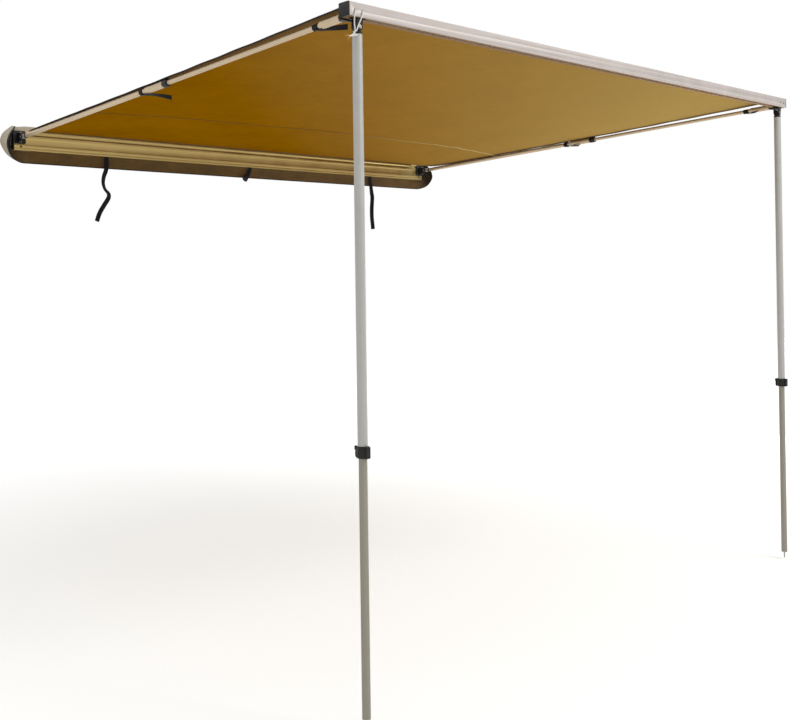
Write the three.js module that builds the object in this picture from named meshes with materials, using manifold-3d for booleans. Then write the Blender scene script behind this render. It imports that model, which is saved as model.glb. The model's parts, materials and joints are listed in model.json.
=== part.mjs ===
// A pull-out side awning for a vehicle, shown open. Millimetres, +Z up.
// X runs along the rails and -Y points away from the vehicle.
// The origin is the middle of the back rail's rear face, which the vehicle holds.

import * as THREE from "three";
import { mergeVertices } from "three/addons/utils/BufferGeometryUtils.js";
import Module from "manifold-3d";

const wasm = await Module();
wasm.setup();

// Driving sizes
const railLength = 2500;
const projection = 2300;
const backRailHeight = 87;
const backRailDepth = 36;
const frontRailHeight = 40;
const frontRailDepth = 38;
const frontRailRise = 93;
const legDrop = 1939;

// How finely curves are cut
const tubeSides = 24;
const bodySides = 20;
const sleeveSides = 16;
const pinSides = 12;
const cordSides = 8;
const arcSteps = 8;
const beadSteps = 8;
const bandSteps = 8;
const canopyColumns = 20;
const flapColumns = 28;
const flapRows = 3;
const bagEndColumns = 12;
const bagEndRows = 6;
const lidColumns = 20;
const lidRows = 6;

// Fits between pieces
const fit = { slide: 0.2, pin: 0.2, swing: 0.4, seam: 0.3, turned: 0.3 };

// Levels and faces that follow from the driving sizes
const railEnd = railLength / 2;
const backRailTop = backRailHeight / 2;
const backRailFoot = -backRailTop;
const backFace = -backRailDepth;
const frontFace = backFace - projection;
const frontRailBack = frontFace + frontRailDepth;
const frontRailMiddle = frontFace + frontRailDepth / 2;
const frontRailTop = frontRailRise + frontRailHeight;

// Rail sections
const wall = 2;
const bead = { pocket: 3.4, neckHalf: 1.5, neckDepth: 2, body: 2.7, fromFront: 5 };
const bolt = { lip: 2.4, mouthHalf: 4.6, innerHalf: 8.5, innerDepth: 6, level: 24 };
const ridge = { lipHeight: 8.5, grooveHeight: 3, grooveDepth: 3, bandHeight: 12 };
const field = { depth: 1.8, top: 13, ridgeTop: 22, coveTop: 37, coveDepth: 4.5 };
const chamber = { front: 6, rear: 10.5, foot: 9, top: 12, webHalf: 1.2 };
const bagBead = { upperFromRear: 13, lowerFromRear: 14, pocket: 3.2, body: 2.5 };
const rearFit = { edge: 1.2 };
const frontRail = { beadDrop: 7, beadRoom: 11, beadShelf: 13.5, floor: 10.5, edge: 2 };
const sideChamber = { width: 6.5, gap: 1.6, floor: 2.6 };
const cordHole = { radius: 3.2, level: 18, first: 19, second: 45, reach: 5 };

// Arm roots at the back rail
const arm = { inset: 22, level: 10, swingOut: 22, tiltOut: 26, frontLevel: 8, frontOut: 14 };
const bracket = { plate: 5, endPlate: 4, width: 52, foot: -16, top: 42, chamfer: 4 };
const ear = { radius: 12, thickness: 5, gapHalf: 14 };
const swingPin = { radius: 3.5, head: 5.5, headHeight: 2.6 };
const yoke = { hub: 10, halfWidth: 12, slotHalf: 8, halfHeight: 9, web: 6, webStart: 5 };
const tiltPin = { radius: 3, head: 5, headLength: 2.2 };

// Arm pieces, measured along the arm from its tilt pin
const root = { halfWidth: 7.4, radius: 8.5, stubStart: 13, stub: 9.3, plug: 8.1, plugEnd: 62 };
const ring = { start: 31, length: 12, radius: 11.3, round: 1.5 };
const rearTube = { radius: 10, bore: 8.5, end: 1238 };
const grip = { start: 1094, end: 1214, radius: 12.5, valley: 11.5, ribs: 5, lead: 8 };
const armCollar = { start: 1216, end: 1246, radius: 13.6, lip: 6, round: 2 };
const frontTube = { radius: 8, bore: 6.6, start: 1140, gapToPin: 10 };
const endSleeve = { length: 90, radius: 11.8, valley: 10.9, ribs: 5, lead: 6, gapToPin: 12 };
const hook = { plug: 6.4, plugLength: 46, halfHeight: 6, halfWidth: 9, tip: 7.6, notch: 3.8 };
const corner = { plate: 5, endPlate: 4, width: 48, drop: 5, rise: 23, chamfer: 2 };
const cornerEar = { halfWidth: 12, reach: 21, inner: 7.6, outer: 12, pin: 3.5 };

// Hook-and-loop bands round the arms
const band = { width: 24, thickness: 1.6, slack: 0.3, tailWidth: 18, tailDrop: 7, tailEnd: 11.2 };
const rearBand = { start: 1052, tail: 96 };
const frontBand = { fromPin: 134, tail: 58 };

// Legs
const leg = { inset: 42, pivotDrop: 24 };
const legBracket = { halfLength: 20, halfDepth: 12.4, plate: 3, cheekInner: 7.4, cheek: 4.6 };
const legCheek = { radius: 11 };
const legPin = { radius: 3.5, head: 5.6, headLength: 2.2 };
const legHead = { halfDepth: 7, radius: 10.5, shoulder: 13, flange: 14.5, flangeEnd: 20 };
const legPlug = { radius: 12.8, end: 50 };
const upperTube = { radius: 14.5, bore: 13.1, length: 1177 };
const lowerTube = { radius: 12.25, bore: 10.9, overlap: 98 };
const clamp = { height: 34, radius: 17.8, step: 14, round: 2.5, earHalf: 7, earReach: 24.5 };
const clampLug = { inner: 5.2, outer: 9, reach: 26, height: 13, bore: 2.6, level: 6.5 };
const lever = { out: 22.2, barrel: 4, axle: 2.3, tailHalf: 8, tailInner: 19, tailOuter: 24.5 };
const foot = { plugLength: 30, cap: 4, spikeRadius: 3, spikeLength: 30, point: 9 };

// Canopy
const canopy = { thickness: 1.2, rearInset: 85, sideInset: 10, sag: 22, restGap: 0.5 };
const canopyRise = { lift: 4, turn: 2.2, lead: 9 };
const canopyWave = { height: 2.4, along: 2.5, across: 1.5 };

// Bag
const bag = { thickness: 2, flapDrop: 56, flapLean: 6, sideStart: 80, flapWave: 2, flapWaves: 6 };
const bagEnd = { bulge: 66, forward: 56 };
const zip = { gap: 1.2, width: 5.6, halfThickness: 2.2 };
const lid = { rise: 22, front: 10, rear: 5, thickness: 2.4, wave: 1.6, waves: 5 };

// Webbing
const webbing = { width: 20, thickness: 1.8 };
const strap = { hang: 304, middleHang: 42, leftAt: -807, rightAt: 834, middleAt: 0, out: 16, gap: 0.7 };
const buckle = { halfWidth: 13, halfDepth: 4.5, height: 34, gap: 0.6, chamfer: 4 };

// Guy cord
const cordRadius = 1.8;
const cordSteps = 60;

// Shares chosen by hand
const beadSeatShare = 0.9;
const crownShare = 1 / 3;
const beadShares = [
  [-1, 0.25],
  [-0.5, 0.85],
  [0, 1],
  [0.5, 0.85],
  [1, 0.25],
];
const normalStepShare = 1 / 64;
const seamShare = 0.004;
const canopySpans = [0, 0.012, 0.03, 0.06, 0.11, 0.18, 0.28, 0.4, 0.5, 0.58, 0.68, 0.78, 0.88, 0.95, 1];
const canopyEase = { widening: 0.03, settling: 0.025, lifting: 3.5, hugging: 6 };
const lidShares = { lowest: 0.7, roundness: 0.6, endEase: 0.05 };

const group = new THREE.Group();

const finishes = {
  backAluminium: { color: 0xbfae84, roughness: 0.42, metalness: 0.85 },
  paleAluminium: { color: 0xd6d4ce, roughness: 0.5, metalness: 0.6 },
  legAluminium: { color: 0xc3c3bf, roughness: 0.4, metalness: 0.85 },
  armAluminium: { color: 0xc8bea6, roughness: 0.4, metalness: 0.8 },
  blackPlastic: { color: 0x1d1d20, roughness: 0.55, metalness: 0 },
  steel: { color: 0xb4b4b2, roughness: 0.3, metalness: 1 },
  canopyCloth: { color: 0x9a6d1c, roughness: 0.9, metalness: 0 },
  bagVinyl: { color: 0x9b8c70, roughness: 0.7, metalness: 0 },
  blackWebbing: { color: 0x17171a, roughness: 0.9, metalness: 0 },
  whiteCord: { color: 0xe6e0d2, roughness: 0.85, metalness: 0 },
};

// Geometry helpers

function signedVolume(geometry) {
  const p = geometry.getAttribute("position");
  const index = geometry.index.array;
  const a = new THREE.Vector3();
  const b = new THREE.Vector3();
  const c = new THREE.Vector3();
  let total = 0;
  for (let i = 0; i < index.length; i += 3) {
    a.fromBufferAttribute(p, index[i]);
    b.fromBufferAttribute(p, index[i + 1]);
    c.fromBufferAttribute(p, index[i + 2]);
    total += a.dot(b.cross(c));
  }
  return total;
}

// Keeps positions only, merges shared corners, drops triangles of no area and faces them outward.
function closed(geometry) {
  const bare = new THREE.BufferGeometry();
  bare.setAttribute("position", geometry.getAttribute("position"));
  if (geometry.index) bare.setIndex(geometry.index);
  const merged = mergeVertices(bare, 1e-3);
  const source = merged.index.array;
  const kept = [];
  for (let i = 0; i < source.length; i += 3) {
    const [a, b, c] = [source[i], source[i + 1], source[i + 2]];
    if (a !== b && b !== c && a !== c) kept.push(a, b, c);
  }
  merged.setIndex(kept);
  if (signedVolume(merged) < 0) {
    for (let i = 0; i < kept.length; i += 3) {
      [kept[i + 1], kept[i + 2]] = [kept[i + 2], kept[i + 1]];
    }
    merged.setIndex(kept);
  }
  return merged;
}

function solidOf(geometry) {
  const clean = closed(geometry);
  const vertProperties = Float32Array.from(clean.getAttribute("position").array);
  const triVerts = Uint32Array.from(clean.index.array);
  return new wasm.Manifold(new wasm.Mesh({ numProp: 3, vertProperties, triVerts }));
}

function geometryOf(solid) {
  const mesh = solid.getMesh();
  const stride = mesh.numProp;
  const count = mesh.vertProperties.length / stride;
  const positions = new Float32Array(count * 3);
  for (let i = 0; i < count; i += 1) {
    for (let k = 0; k < 3; k += 1) positions[3 * i + k] = mesh.vertProperties[stride * i + k];
  }
  const geometry = new THREE.BufferGeometry();
  geometry.setAttribute("position", new THREE.BufferAttribute(positions, 3));
  geometry.setIndex(Array.from(mesh.triVerts));
  return geometry;
}

function joined(...geometries) {
  const solids = geometries.map(solidOf);
  return geometryOf(solids.reduce((whole, next) => whole.add(next)));
}

function cut(geometry, ...tools) {
  const solid = solidOf(geometry);
  return geometryOf(tools.map(solidOf).reduce((whole, tool) => whole.subtract(tool), solid));
}

function mirrored(geometry) {
  return closed(geometry.clone().scale(-1, 1, 1));
}

function boxBetween(low, high) {
  const size = high.map((value, k) => value - low[k]);
  const middle = high.map((value, k) => (value + low[k]) / 2);
  return new THREE.BoxGeometry(...size).translate(...middle);
}

// A flat outline pushed along an axis: X takes (y, z), Y takes (x, z) and Z takes (x, y).
function prism(axis, outline, from, to, holes = []) {
  const shape = new THREE.Shape(outline.map(([a, b]) => new THREE.Vector2(a, b)));
  for (const hole of holes) {
    shape.holes.push(new THREE.Path(hole.map(([a, b]) => new THREE.Vector2(a, b))));
  }
  const geometry = new THREE.ExtrudeGeometry(shape, { depth: to - from, bevelEnabled: false });
  const [x, y, z] = [
    new THREE.Vector3(1, 0, 0),
    new THREE.Vector3(0, 1, 0),
    new THREE.Vector3(0, 0, 1),
  ];
  const turn = new THREE.Matrix4();
  if (axis === "x") turn.makeBasis(y, z, x).setPosition(from, 0, 0);
  if (axis === "y") turn.makeBasis(x, z, y.clone().negate()).setPosition(0, to, 0);
  if (axis === "z") turn.makeBasis(x, y, z).setPosition(0, 0, from);
  return closed(geometry.applyMatrix4(turn));
}

// A profile of [radius, height] pairs turned about the Z axis.
function turned(profile, sides, closeProfile = false) {
  const points = profile.map(([radius, height]) => new THREE.Vector2(radius, height));
  if (closeProfile) points.push(points[0].clone());
  return closed(new THREE.LatheGeometry(points, sides).rotateX(Math.PI / 2));
}

function drum(radius, low, high, sides) {
  const profile = [
    [0, low],
    [radius, low],
    [radius, high],
    [0, high],
  ];
  return turned(profile, sides);
}

function pipe(radius, bore, low, high, sides) {
  const profile = [
    [bore, low],
    [radius, low],
    [radius, high],
    [bore, high],
  ];
  return turned(profile, sides, true);
}

function headedPin(radius, head, headLength, low, high) {
  const crown = headLength * crownShare;
  const profile = [
    [0, low - headLength],
    [head - crown, low - headLength],
    [head, low - headLength + crown],
    [head, low],
    [radius, low],
    [radius, high],
    [head, high],
    [head, high + headLength - crown],
    [head - crown, high + headLength],
    [0, high + headLength],
  ];
  return turned(profile, pinSides);
}

function circle(x, y, radius, sides) {
  const points = [];
  for (let i = 0; i < sides; i += 1) {
    const angle = (2 * Math.PI * i) / sides;
    points.push([x + radius * Math.cos(angle), y + radius * Math.sin(angle)]);
  }
  return points;
}

function chamferedRectangle(left, right, low, high, chamfer) {
  return [
    [left + chamfer, low],
    [right - chamfer, low],
    [right, low + chamfer],
    [right, high - chamfer],
    [right - chamfer, high],
    [left + chamfer, high],
    [left, high - chamfer],
    [left, low + chamfer],
  ];
}

// A tab from a straight base at height base, to a round end about (x, end).
function roundedTab(x, base, end, halfWidth) {
  const towards = Math.sign(end - base);
  const points = [[x - halfWidth * towards, base]];
  for (let i = 0; i <= arcSteps; i += 1) {
    const angle = Math.PI - (Math.PI * i) / arcSteps;
    const across = Math.cos(angle) * halfWidth * towards;
    points.push([x + across, end + Math.sin(angle) * halfWidth * towards]);
  }
  points.push([x + halfWidth * towards, base]);
  return points;
}

// Two faces of a sheet, each a function of (u, v) from 0 to 1, closed by their edges.
function sheetSolid(columns, rows, front, rear) {
  const positions = [];
  const index = [];
  const step = rows + 1;
  const layer = (columns + 1) * step;
  for (const face of [front, rear]) {
    for (let i = 0; i <= columns; i += 1) {
      for (let j = 0; j <= rows; j += 1) positions.push(...face(i / columns, j / rows));
    }
  }
  const quad = (a, b, c, d) => index.push(a, b, c, a, c, d);
  for (let i = 0; i < columns; i += 1) {
    for (let j = 0; j < rows; j += 1) {
      const a = i * step + j;
      quad(a, a + step, a + step + 1, a + 1);
      quad(layer + a, layer + a + 1, layer + a + step + 1, layer + a + step);
    }
  }
  for (let i = 0; i < columns; i += 1) {
    const a = i * step;
    const b = a + rows;
    quad(a, layer + a, layer + a + step, a + step);
    quad(b, b + step, layer + b + step, layer + b);
  }
  for (let j = 0; j < rows; j += 1) {
    const a = j;
    const b = columns * step + j;
    quad(a, a + 1, layer + a + 1, layer + a);
    quad(b, layer + b, layer + b + 1, b + 1);
  }
  const geometry = new THREE.BufferGeometry();
  geometry.setAttribute("position", new THREE.Float32BufferAttribute(positions, 3));
  geometry.setIndex(index);
  return closed(geometry);
}

// Sections of equal, convex corner lists joined in order, with flat ends.
function loft(rings) {
  const count = rings[0].length;
  const positions = rings.flat(2);
  const index = [];
  for (let r = 0; r + 1 < rings.length; r += 1) {
    for (let k = 0; k < count; k += 1) {
      const a = r * count + k;
      const b = r * count + ((k + 1) % count);
      index.push(a, b, b + count, a, b + count, a + count);
    }
  }
  const last = (rings.length - 1) * count;
  for (let k = 1; k + 1 < count; k += 1) {
    index.push(0, k + 1, k);
    index.push(last, last + k, last + k + 1);
  }
  const geometry = new THREE.BufferGeometry();
  geometry.setAttribute("position", new THREE.Float32BufferAttribute(positions, 3));
  geometry.setIndex(index);
  return closed(geometry);
}

// A flat ribbon along points; across gives its width direction at each point.
function ribbon(points, across, halfWidth, halfThickness) {
  const rings = points.map((point, i) => {
    const before = points[Math.max(i - 1, 0)];
    const after = points[Math.min(i + 1, points.length - 1)];
    const along = after.clone().sub(before).normalize();
    const wide = across[i].clone().addScaledVector(along, -across[i].dot(along)).normalize();
    const normal = wide.clone().cross(along);
    const corners = [
      [-1, -1],
      [1, -1],
      [1, 1],
      [-1, 1],
    ];
    return corners.map(([a, b]) =>
      point
        .clone()
        .addScaledVector(wide, a * halfWidth)
        .addScaledVector(normal, b * halfThickness)
        .toArray(),
    );
  });
  return loft(rings);
}

// Points of a curve through hand-placed stations, evenly spaced.
function smoothPath(stations, steps) {
  const curve = new THREE.CatmullRomCurve3(stations.map((p) => new THREE.Vector3(...p)));
  return curve.getSpacedPoints(steps);
}

// A round groove for an edge bead, sunk into an outline that keeps its metal on the left.
function beadPocket(at, along, pocket) {
  const outward = [along[1], -along[0]];
  const opening = Math.asin(bead.neckHalf / pocket);
  const depth = bead.neckDepth + pocket * Math.cos(opening);
  const place = (a, n) => [
    at[0] + along[0] * a + outward[0] * n,
    at[1] + along[1] * a + outward[1] * n,
  ];
  const points = [place(-bead.neckHalf, 0)];
  for (let i = 0; i <= beadSteps; i += 1) {
    const angle = opening + ((2 * Math.PI - 2 * opening) * i) / beadSteps;
    points.push(place(-pocket * Math.sin(angle), pocket * Math.cos(angle) - depth));
  }
  points.push(place(bead.neckHalf, 0));
  return points;
}

// A bolt channel with lips, sunk into an outline in the same way.
function boltPocket(at, along) {
  const outward = [along[1], -along[0]];
  const place = (a, n) => [
    at[0] + along[0] * a + outward[0] * n,
    at[1] + along[1] * a + outward[1] * n,
  ];
  const floor = bolt.lip + bolt.innerDepth;
  return [
    place(-bolt.mouthHalf, 0),
    place(-bolt.mouthHalf, -bolt.lip),
    place(-bolt.innerHalf, -bolt.lip),
    place(-bolt.innerHalf, -floor),
    place(bolt.innerHalf, -floor),
    place(bolt.innerHalf, -bolt.lip),
    place(bolt.mouthHalf, -bolt.lip),
    place(bolt.mouthHalf, 0),
  ];
}

function add(name, geometry, finish) {
  const shown = geometry.index ? geometry.toNonIndexed() : geometry;
  shown.computeVertexNormals();
  const mesh = new THREE.Mesh(shown, new THREE.MeshStandardMaterial(finishes[finish]));
  mesh.name = name;
  group.add(mesh);
}

function addPair(name, leftGeometry, finish) {
  add(`${name}_left`, leftGeometry, finish);
  add(`${name}_right`, mirrored(leftGeometry), finish);
}

// Back rail

const canopyBeadRear = { y: backFace + bead.fromFront, z: backRailTop };

function backRailOutline() {
  const lipTop = backRailFoot + ridge.lipHeight;
  const grooveTop = lipTop + ridge.grooveHeight;
  const bandTop = grooveTop + ridge.bandHeight;
  const grooveFloor = backFace + ridge.grooveDepth;
  const coveFace = backFace + field.coveDepth;
  return [
    [backFace, backRailFoot],
    ...beadPocket([-bagBead.lowerFromRear, backRailFoot], [1, 0], bagBead.pocket),
    [-rearFit.edge, backRailFoot],
    [0, backRailFoot + rearFit.edge],
    ...boltPocket([0, -bolt.level], [0, 1]),
    ...boltPocket([0, bolt.level], [0, 1]),
    [0, backRailTop - rearFit.edge],
    [-rearFit.edge, backRailTop],
    ...beadPocket([-bagBead.upperFromRear, backRailTop], [-1, 0], bagBead.pocket),
    ...beadPocket([canopyBeadRear.y, canopyBeadRear.z], [-1, 0], bead.pocket),
    [backFace + rearFit.edge, backRailTop],
    [backFace + rearFit.edge, field.coveTop],
    [coveFace, field.coveTop - field.coveDepth],
    [coveFace, field.ridgeTop + field.coveDepth],
    [backFace, field.ridgeTop],
    [backFace, field.top],
    [backFace + field.depth, field.top - field.depth],
    [backFace + field.depth, bandTop + field.depth],
    [backFace, bandTop],
    [backFace, grooveTop],
    [grooveFloor, grooveTop],
    [grooveFloor, lipTop],
    [backFace, lipTop],
  ];
}

function backRailChambers() {
  const front = backFace + chamber.front;
  const rear = -chamber.rear;
  const low = backRailFoot + chamber.foot;
  const high = backRailTop - chamber.top;
  const rectangle = (from, to) => [
    [front, from],
    [rear, from],
    [rear, to],
    [front, to],
  ];
  return [rectangle(low, -chamber.webHalf), rectangle(chamber.webHalf, high)];
}

function addBackRail() {
  const outline = backRailOutline();
  add("back_rail", prism("x", outline, -railEnd, railEnd, backRailChambers()), "backAluminium");
}

// Front rail

const canopyBeadFront = { y: frontRailBack, z: frontRailTop - frontRail.beadDrop };

function frontRailOutline() {
  return [
    [frontFace + frontRail.edge, frontRailRise],
    ...boltPocket([frontRailMiddle, frontRailRise], [1, 0]),
    [frontRailBack, frontRailRise],
    ...beadPocket([canopyBeadFront.y, canopyBeadFront.z], [0, 1], bead.pocket),
    [frontRailBack, frontRailTop],
    [frontFace + frontRail.edge, frontRailTop],
    [frontFace, frontRailTop - frontRail.edge],
    [frontFace, frontRailRise + frontRail.edge],
  ];
}

function frontRailChambers() {
  const front = frontFace + wall;
  const rear = frontRailBack - wall;
  const low = frontRailRise + frontRail.floor;
  const shelf = frontRailTop - frontRail.beadShelf;
  const inner = frontRailBack - frontRail.beadRoom;
  const main = [
    [front, low],
    [rear, low],
    [rear, shelf],
    [inner, shelf],
    [inner, frontRailTop - wall],
    [front, frontRailTop - wall],
  ];
  const small = (from) => {
    const base = frontRailRise + sideChamber.floor;
    const top = low - sideChamber.gap;
    return [
      [from, base],
      [from + sideChamber.width, base],
      [from + sideChamber.width, top],
      [from, top],
    ];
  };
  return [main, small(front), small(rear - sideChamber.width)];
}

function cordHoleTool(fromEnd) {
  const x = -railEnd + fromEnd;
  const z = frontRailRise + cordHole.level;
  const rim = circle(x, z, cordHole.radius, pinSides);
  return prism("y", rim, frontFace - cordHole.reach, frontFace + cordHole.reach);
}

function addFrontRail() {
  const plain = prism("x", frontRailOutline(), -railEnd, railEnd, frontRailChambers());
  const left = [cordHoleTool(cordHole.first), cordHoleTool(cordHole.second)];
  const right = left.map(mirrored);
  add("front_rail", cut(plain, ...left, ...right), "paleAluminium");
}

// Arm line: from the tilt pin by the back rail to the fixed pin by the front rail

const armX = -railEnd + arm.inset;
const swingY = backFace - arm.swingOut;
const tiltY = swingY - arm.tiltOut;
const cornerPinY = frontRailBack + arm.frontOut;
const cornerPinZ = frontRailRise + arm.frontLevel;
const armSlope = Math.atan2(cornerPinZ - arm.level, tiltY - cornerPinY);
const armLength = Math.hypot(cornerPinZ - arm.level, tiltY - cornerPinY);

// Places a piece drawn along +Z, with +Y up, on the arm line.
function onArm(geometry) {
  return closed(
    geometry
      .clone()
      .rotateX(Math.PI / 2 - armSlope)
      .translate(armX, tiltY, arm.level),
  );
}

function addArmBrackets() {
  const left = -railEnd - bracket.endPlate;
  const front = backFace - bracket.plate;
  const endOutline = chamferedRectangle(front, 0, backRailFoot, backRailTop, bracket.chamfer);
  const endPlate = prism("x", endOutline, left, -railEnd);
  const plateOutline = chamferedRectangle(
    left,
    left + bracket.endPlate + bracket.width,
    bracket.foot,
    bracket.top,
    bracket.chamfer,
  );
  const plate = prism("y", plateOutline, front, backFace);
  const tab = roundedTab(armX, backFace - bracket.plate / 2, swingY, ear.radius);
  const bore = circle(armX, swingY, swingPin.radius + fit.pin, pinSides);
  const upperFrom = arm.level + ear.gapHalf;
  const upper = prism("z", tab, upperFrom, upperFrom + ear.thickness, [bore]);
  const lowerTo = arm.level - ear.gapHalf;
  const lower = prism("z", tab, lowerTo - ear.thickness, lowerTo, [bore]);
  addPair("arm_bracket", joined(endPlate, plate, upper, lower), "blackPlastic");
}

function addSwingPins() {
  const reach = ear.gapHalf + ear.thickness;
  const low = arm.level - reach - fit.seam;
  const high = arm.level + reach + fit.seam;
  const pin = headedPin(swingPin.radius, swingPin.head, swingPin.headHeight, low, high);
  addPair("arm_swing_pin", closed(pin.translate(armX, swingY, 0)), "steel");
}

function addYokes() {
  const hubHalf = ear.gapHalf - fit.swing;
  const boreRadius = swingPin.radius + fit.pin;
  const hub = drum(yoke.hub, arm.level - hubHalf, arm.level + hubHalf, bodySides);
  const webFront = swingY - yoke.webStart - yoke.web;
  const web = boxBetween(
    [armX - yoke.halfWidth, webFront, arm.level - yoke.halfHeight],
    [armX + yoke.halfWidth, swingY - yoke.webStart, arm.level + yoke.halfHeight],
  );
  const cheekOutline = roundedTab(arm.level, webFront + yoke.web / 2, tiltY, yoke.halfHeight).map(
    ([z, y]) => [y, z],
  );
  const hole = circle(tiltY, arm.level, tiltPin.radius + fit.pin, pinSides);
  const cheeks = [-yoke.halfWidth, yoke.slotHalf].map((from) =>
    prism(
      "x",
      cheekOutline,
      armX + from,
      armX + from + yoke.halfWidth - yoke.slotHalf,
      [hole],
    ),
  );
  const body = joined(closed(hub.translate(armX, swingY, 0)), web, ...cheeks);
  const bore = drum(boreRadius, arm.level - ear.radius * 2, arm.level + ear.radius * 2, pinSides);
  addPair("arm_yoke", cut(body, closed(bore.translate(armX, swingY, 0))), "blackPlastic");
}

function addTiltPins() {
  const reach = yoke.halfWidth + fit.seam;
  const pin = headedPin(tiltPin.radius, tiltPin.head, tiltPin.headLength, -reach, reach);
  const placed = closed(pin.rotateY(Math.PI / 2).translate(armX, tiltY, arm.level));
  addPair("arm_tilt_pin", placed, "steel");
}

function addRootFittings() {
  const outline = roundedTab(0, root.stubStart + wall, 0, root.radius).map(([y, z]) => [y, z]);
  const hole = circle(0, 0, tiltPin.radius + fit.pin, pinSides);
  const tongue = prism("x", outline, -root.halfWidth, root.halfWidth, [hole]);
  const profile = [
    [0, root.stubStart],
    [root.stub, root.stubStart],
    [root.stub, ring.start],
    [root.plug, ring.start],
    [root.plug, root.plugEnd],
    [0, root.plugEnd],
  ];
  addPair("arm_root", onArm(joined(tongue, turned(profile, bodySides))), "steel");
}

function addArmRings() {
  const bore = root.plug + fit.slide;
  const end = ring.start + ring.length;
  const profile = [
    [bore, ring.start],
    [ring.radius - ring.round, ring.start],
    [ring.radius, ring.start + ring.round],
    [ring.radius, end - ring.round],
    [ring.radius - ring.round, end],
    [bore, end],
  ];
  addPair("arm_ring", onArm(turned(profile, bodySides, true)), "blackPlastic");
}

function addRearTubes() {
  const start = ring.start + ring.length;
  const tube = pipe(rearTube.radius, rearTube.bore, start, rearTube.end, tubeSides);
  addPair("arm_rear_tube", onArm(tube), "armAluminium");
}

// The outside of a sleeve whose ribs stand out between plain ends.
function ribbedProfile(start, end, crest, valley, ribs, lead) {
  const pitch = (end - start - 2 * lead) / ribs;
  const profile = [
    [valley, start],
    [crest, start + lead * crownShare],
    [crest, start + lead],
  ];
  for (let i = 0; i < ribs; i += 1) {
    const at = start + lead + pitch * i;
    profile.push([valley, at + pitch * crownShare]);
    profile.push([crest, at + pitch]);
  }
  profile.push([crest, end - lead * crownShare]);
  profile.push([valley, end]);
  return profile;
}

function addGrips() {
  const bore = rearTube.radius + fit.turned;
  const outside = ribbedProfile(
    grip.start,
    grip.end,
    grip.radius,
    grip.valley,
    grip.ribs,
    grip.lead,
  );
  const profile = [[bore, grip.start], ...outside, [bore, grip.end]];
  addPair("arm_grip", onArm(turned(profile, sleeveSides, true)), "armAluminium");
}

function addArmCollars() {
  const wide = rearTube.radius + fit.slide;
  const narrow = frontTube.radius + fit.slide;
  const step = armCollar.end - armCollar.lip;
  const profile = [
    [wide, armCollar.start],
    [armCollar.radius - armCollar.round, armCollar.start],
    [armCollar.radius, armCollar.start + armCollar.round],
    [armCollar.radius, armCollar.end - armCollar.round],
    [armCollar.radius - armCollar.round, armCollar.end],
    [narrow, armCollar.end],
    [narrow, step],
    [wide, step],
  ];
  addPair("arm_collar", onArm(turned(profile, bodySides, true)), "blackPlastic");
}

function addFrontTubes() {
  const end = armLength - frontTube.gapToPin;
  const tube = pipe(frontTube.radius, frontTube.bore, frontTube.start, end, tubeSides);
  addPair("arm_front_tube", onArm(tube), "armAluminium");
}

function addEndSleeves() {
  const end = armLength - endSleeve.gapToPin;
  const start = end - endSleeve.length;
  const bore = frontTube.radius + fit.turned;
  const outside = ribbedProfile(
    start,
    end,
    endSleeve.radius,
    endSleeve.valley,
    endSleeve.ribs,
    endSleeve.lead,
  );
  const profile = [[bore, start], ...outside, [bore, end]];
  addPair("arm_end_sleeve", onArm(turned(profile, sleeveSides, true)), "armAluminium");
}

function addHooks() {
  const tubeEnd = armLength - frontTube.gapToPin;
  const plug = drum(hook.plug, tubeEnd - hook.plugLength, tubeEnd + wall, bodySides);
  const tip = armLength + hook.tip;
  const tongue = boxBetween(
    [-hook.halfWidth, -hook.halfHeight, tubeEnd + fit.seam],
    [hook.halfWidth, hook.halfHeight, tip],
  );
  const eye = drum(hook.notch, -hook.halfWidth, hook.halfWidth, pinSides)
    .rotateX(Math.PI / 2)
    .translate(0, 0, armLength);
  const mouth = boxBetween(
    [-hook.halfWidth * 2, -hook.halfWidth, armLength - hook.notch],
    [0, hook.halfWidth, armLength + hook.notch],
  );
  addPair("arm_hook", onArm(cut(joined(plug, tongue), eye, mouth)), "blackPlastic");
}

function addCornerBlocks() {
  const left = -railEnd - corner.endPlate;
  const endOutline = chamferedRectangle(
    frontFace,
    frontRailBack + corner.plate,
    frontRailRise,
    frontRailTop,
    corner.chamfer,
  );
  const endPlate = prism("x", endOutline, left, -railEnd);
  const low = frontRailRise - corner.drop;
  const plateOutline = chamferedRectangle(
    left,
    left + corner.width,
    low,
    frontRailRise + corner.rise,
    corner.chamfer,
  );
  const plate = prism("y", plateOutline, frontRailBack, frontRailBack + corner.plate);
  const earBox = (from, to) =>
    boxBetween(
      [armX - cornerEar.halfWidth, frontRailBack + corner.plate / 2, cornerPinZ + from],
      [armX + cornerEar.halfWidth, frontRailBack + cornerEar.reach, cornerPinZ + to],
    );
  const middle = (cornerEar.inner + cornerEar.outer) / 2;
  const pin = drum(cornerEar.pin, cornerPinZ - middle, cornerPinZ + middle, pinSides);
  const block = joined(
    endPlate,
    plate,
    earBox(cornerEar.inner, cornerEar.outer),
    earBox(-cornerEar.outer, -cornerEar.inner),
    closed(pin.translate(armX, cornerPinY, 0)),
  );
  addPair("corner_block", block, "blackPlastic");
}

// Hook-and-loop bands: a ring round the arm with a loose tail below it

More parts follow.
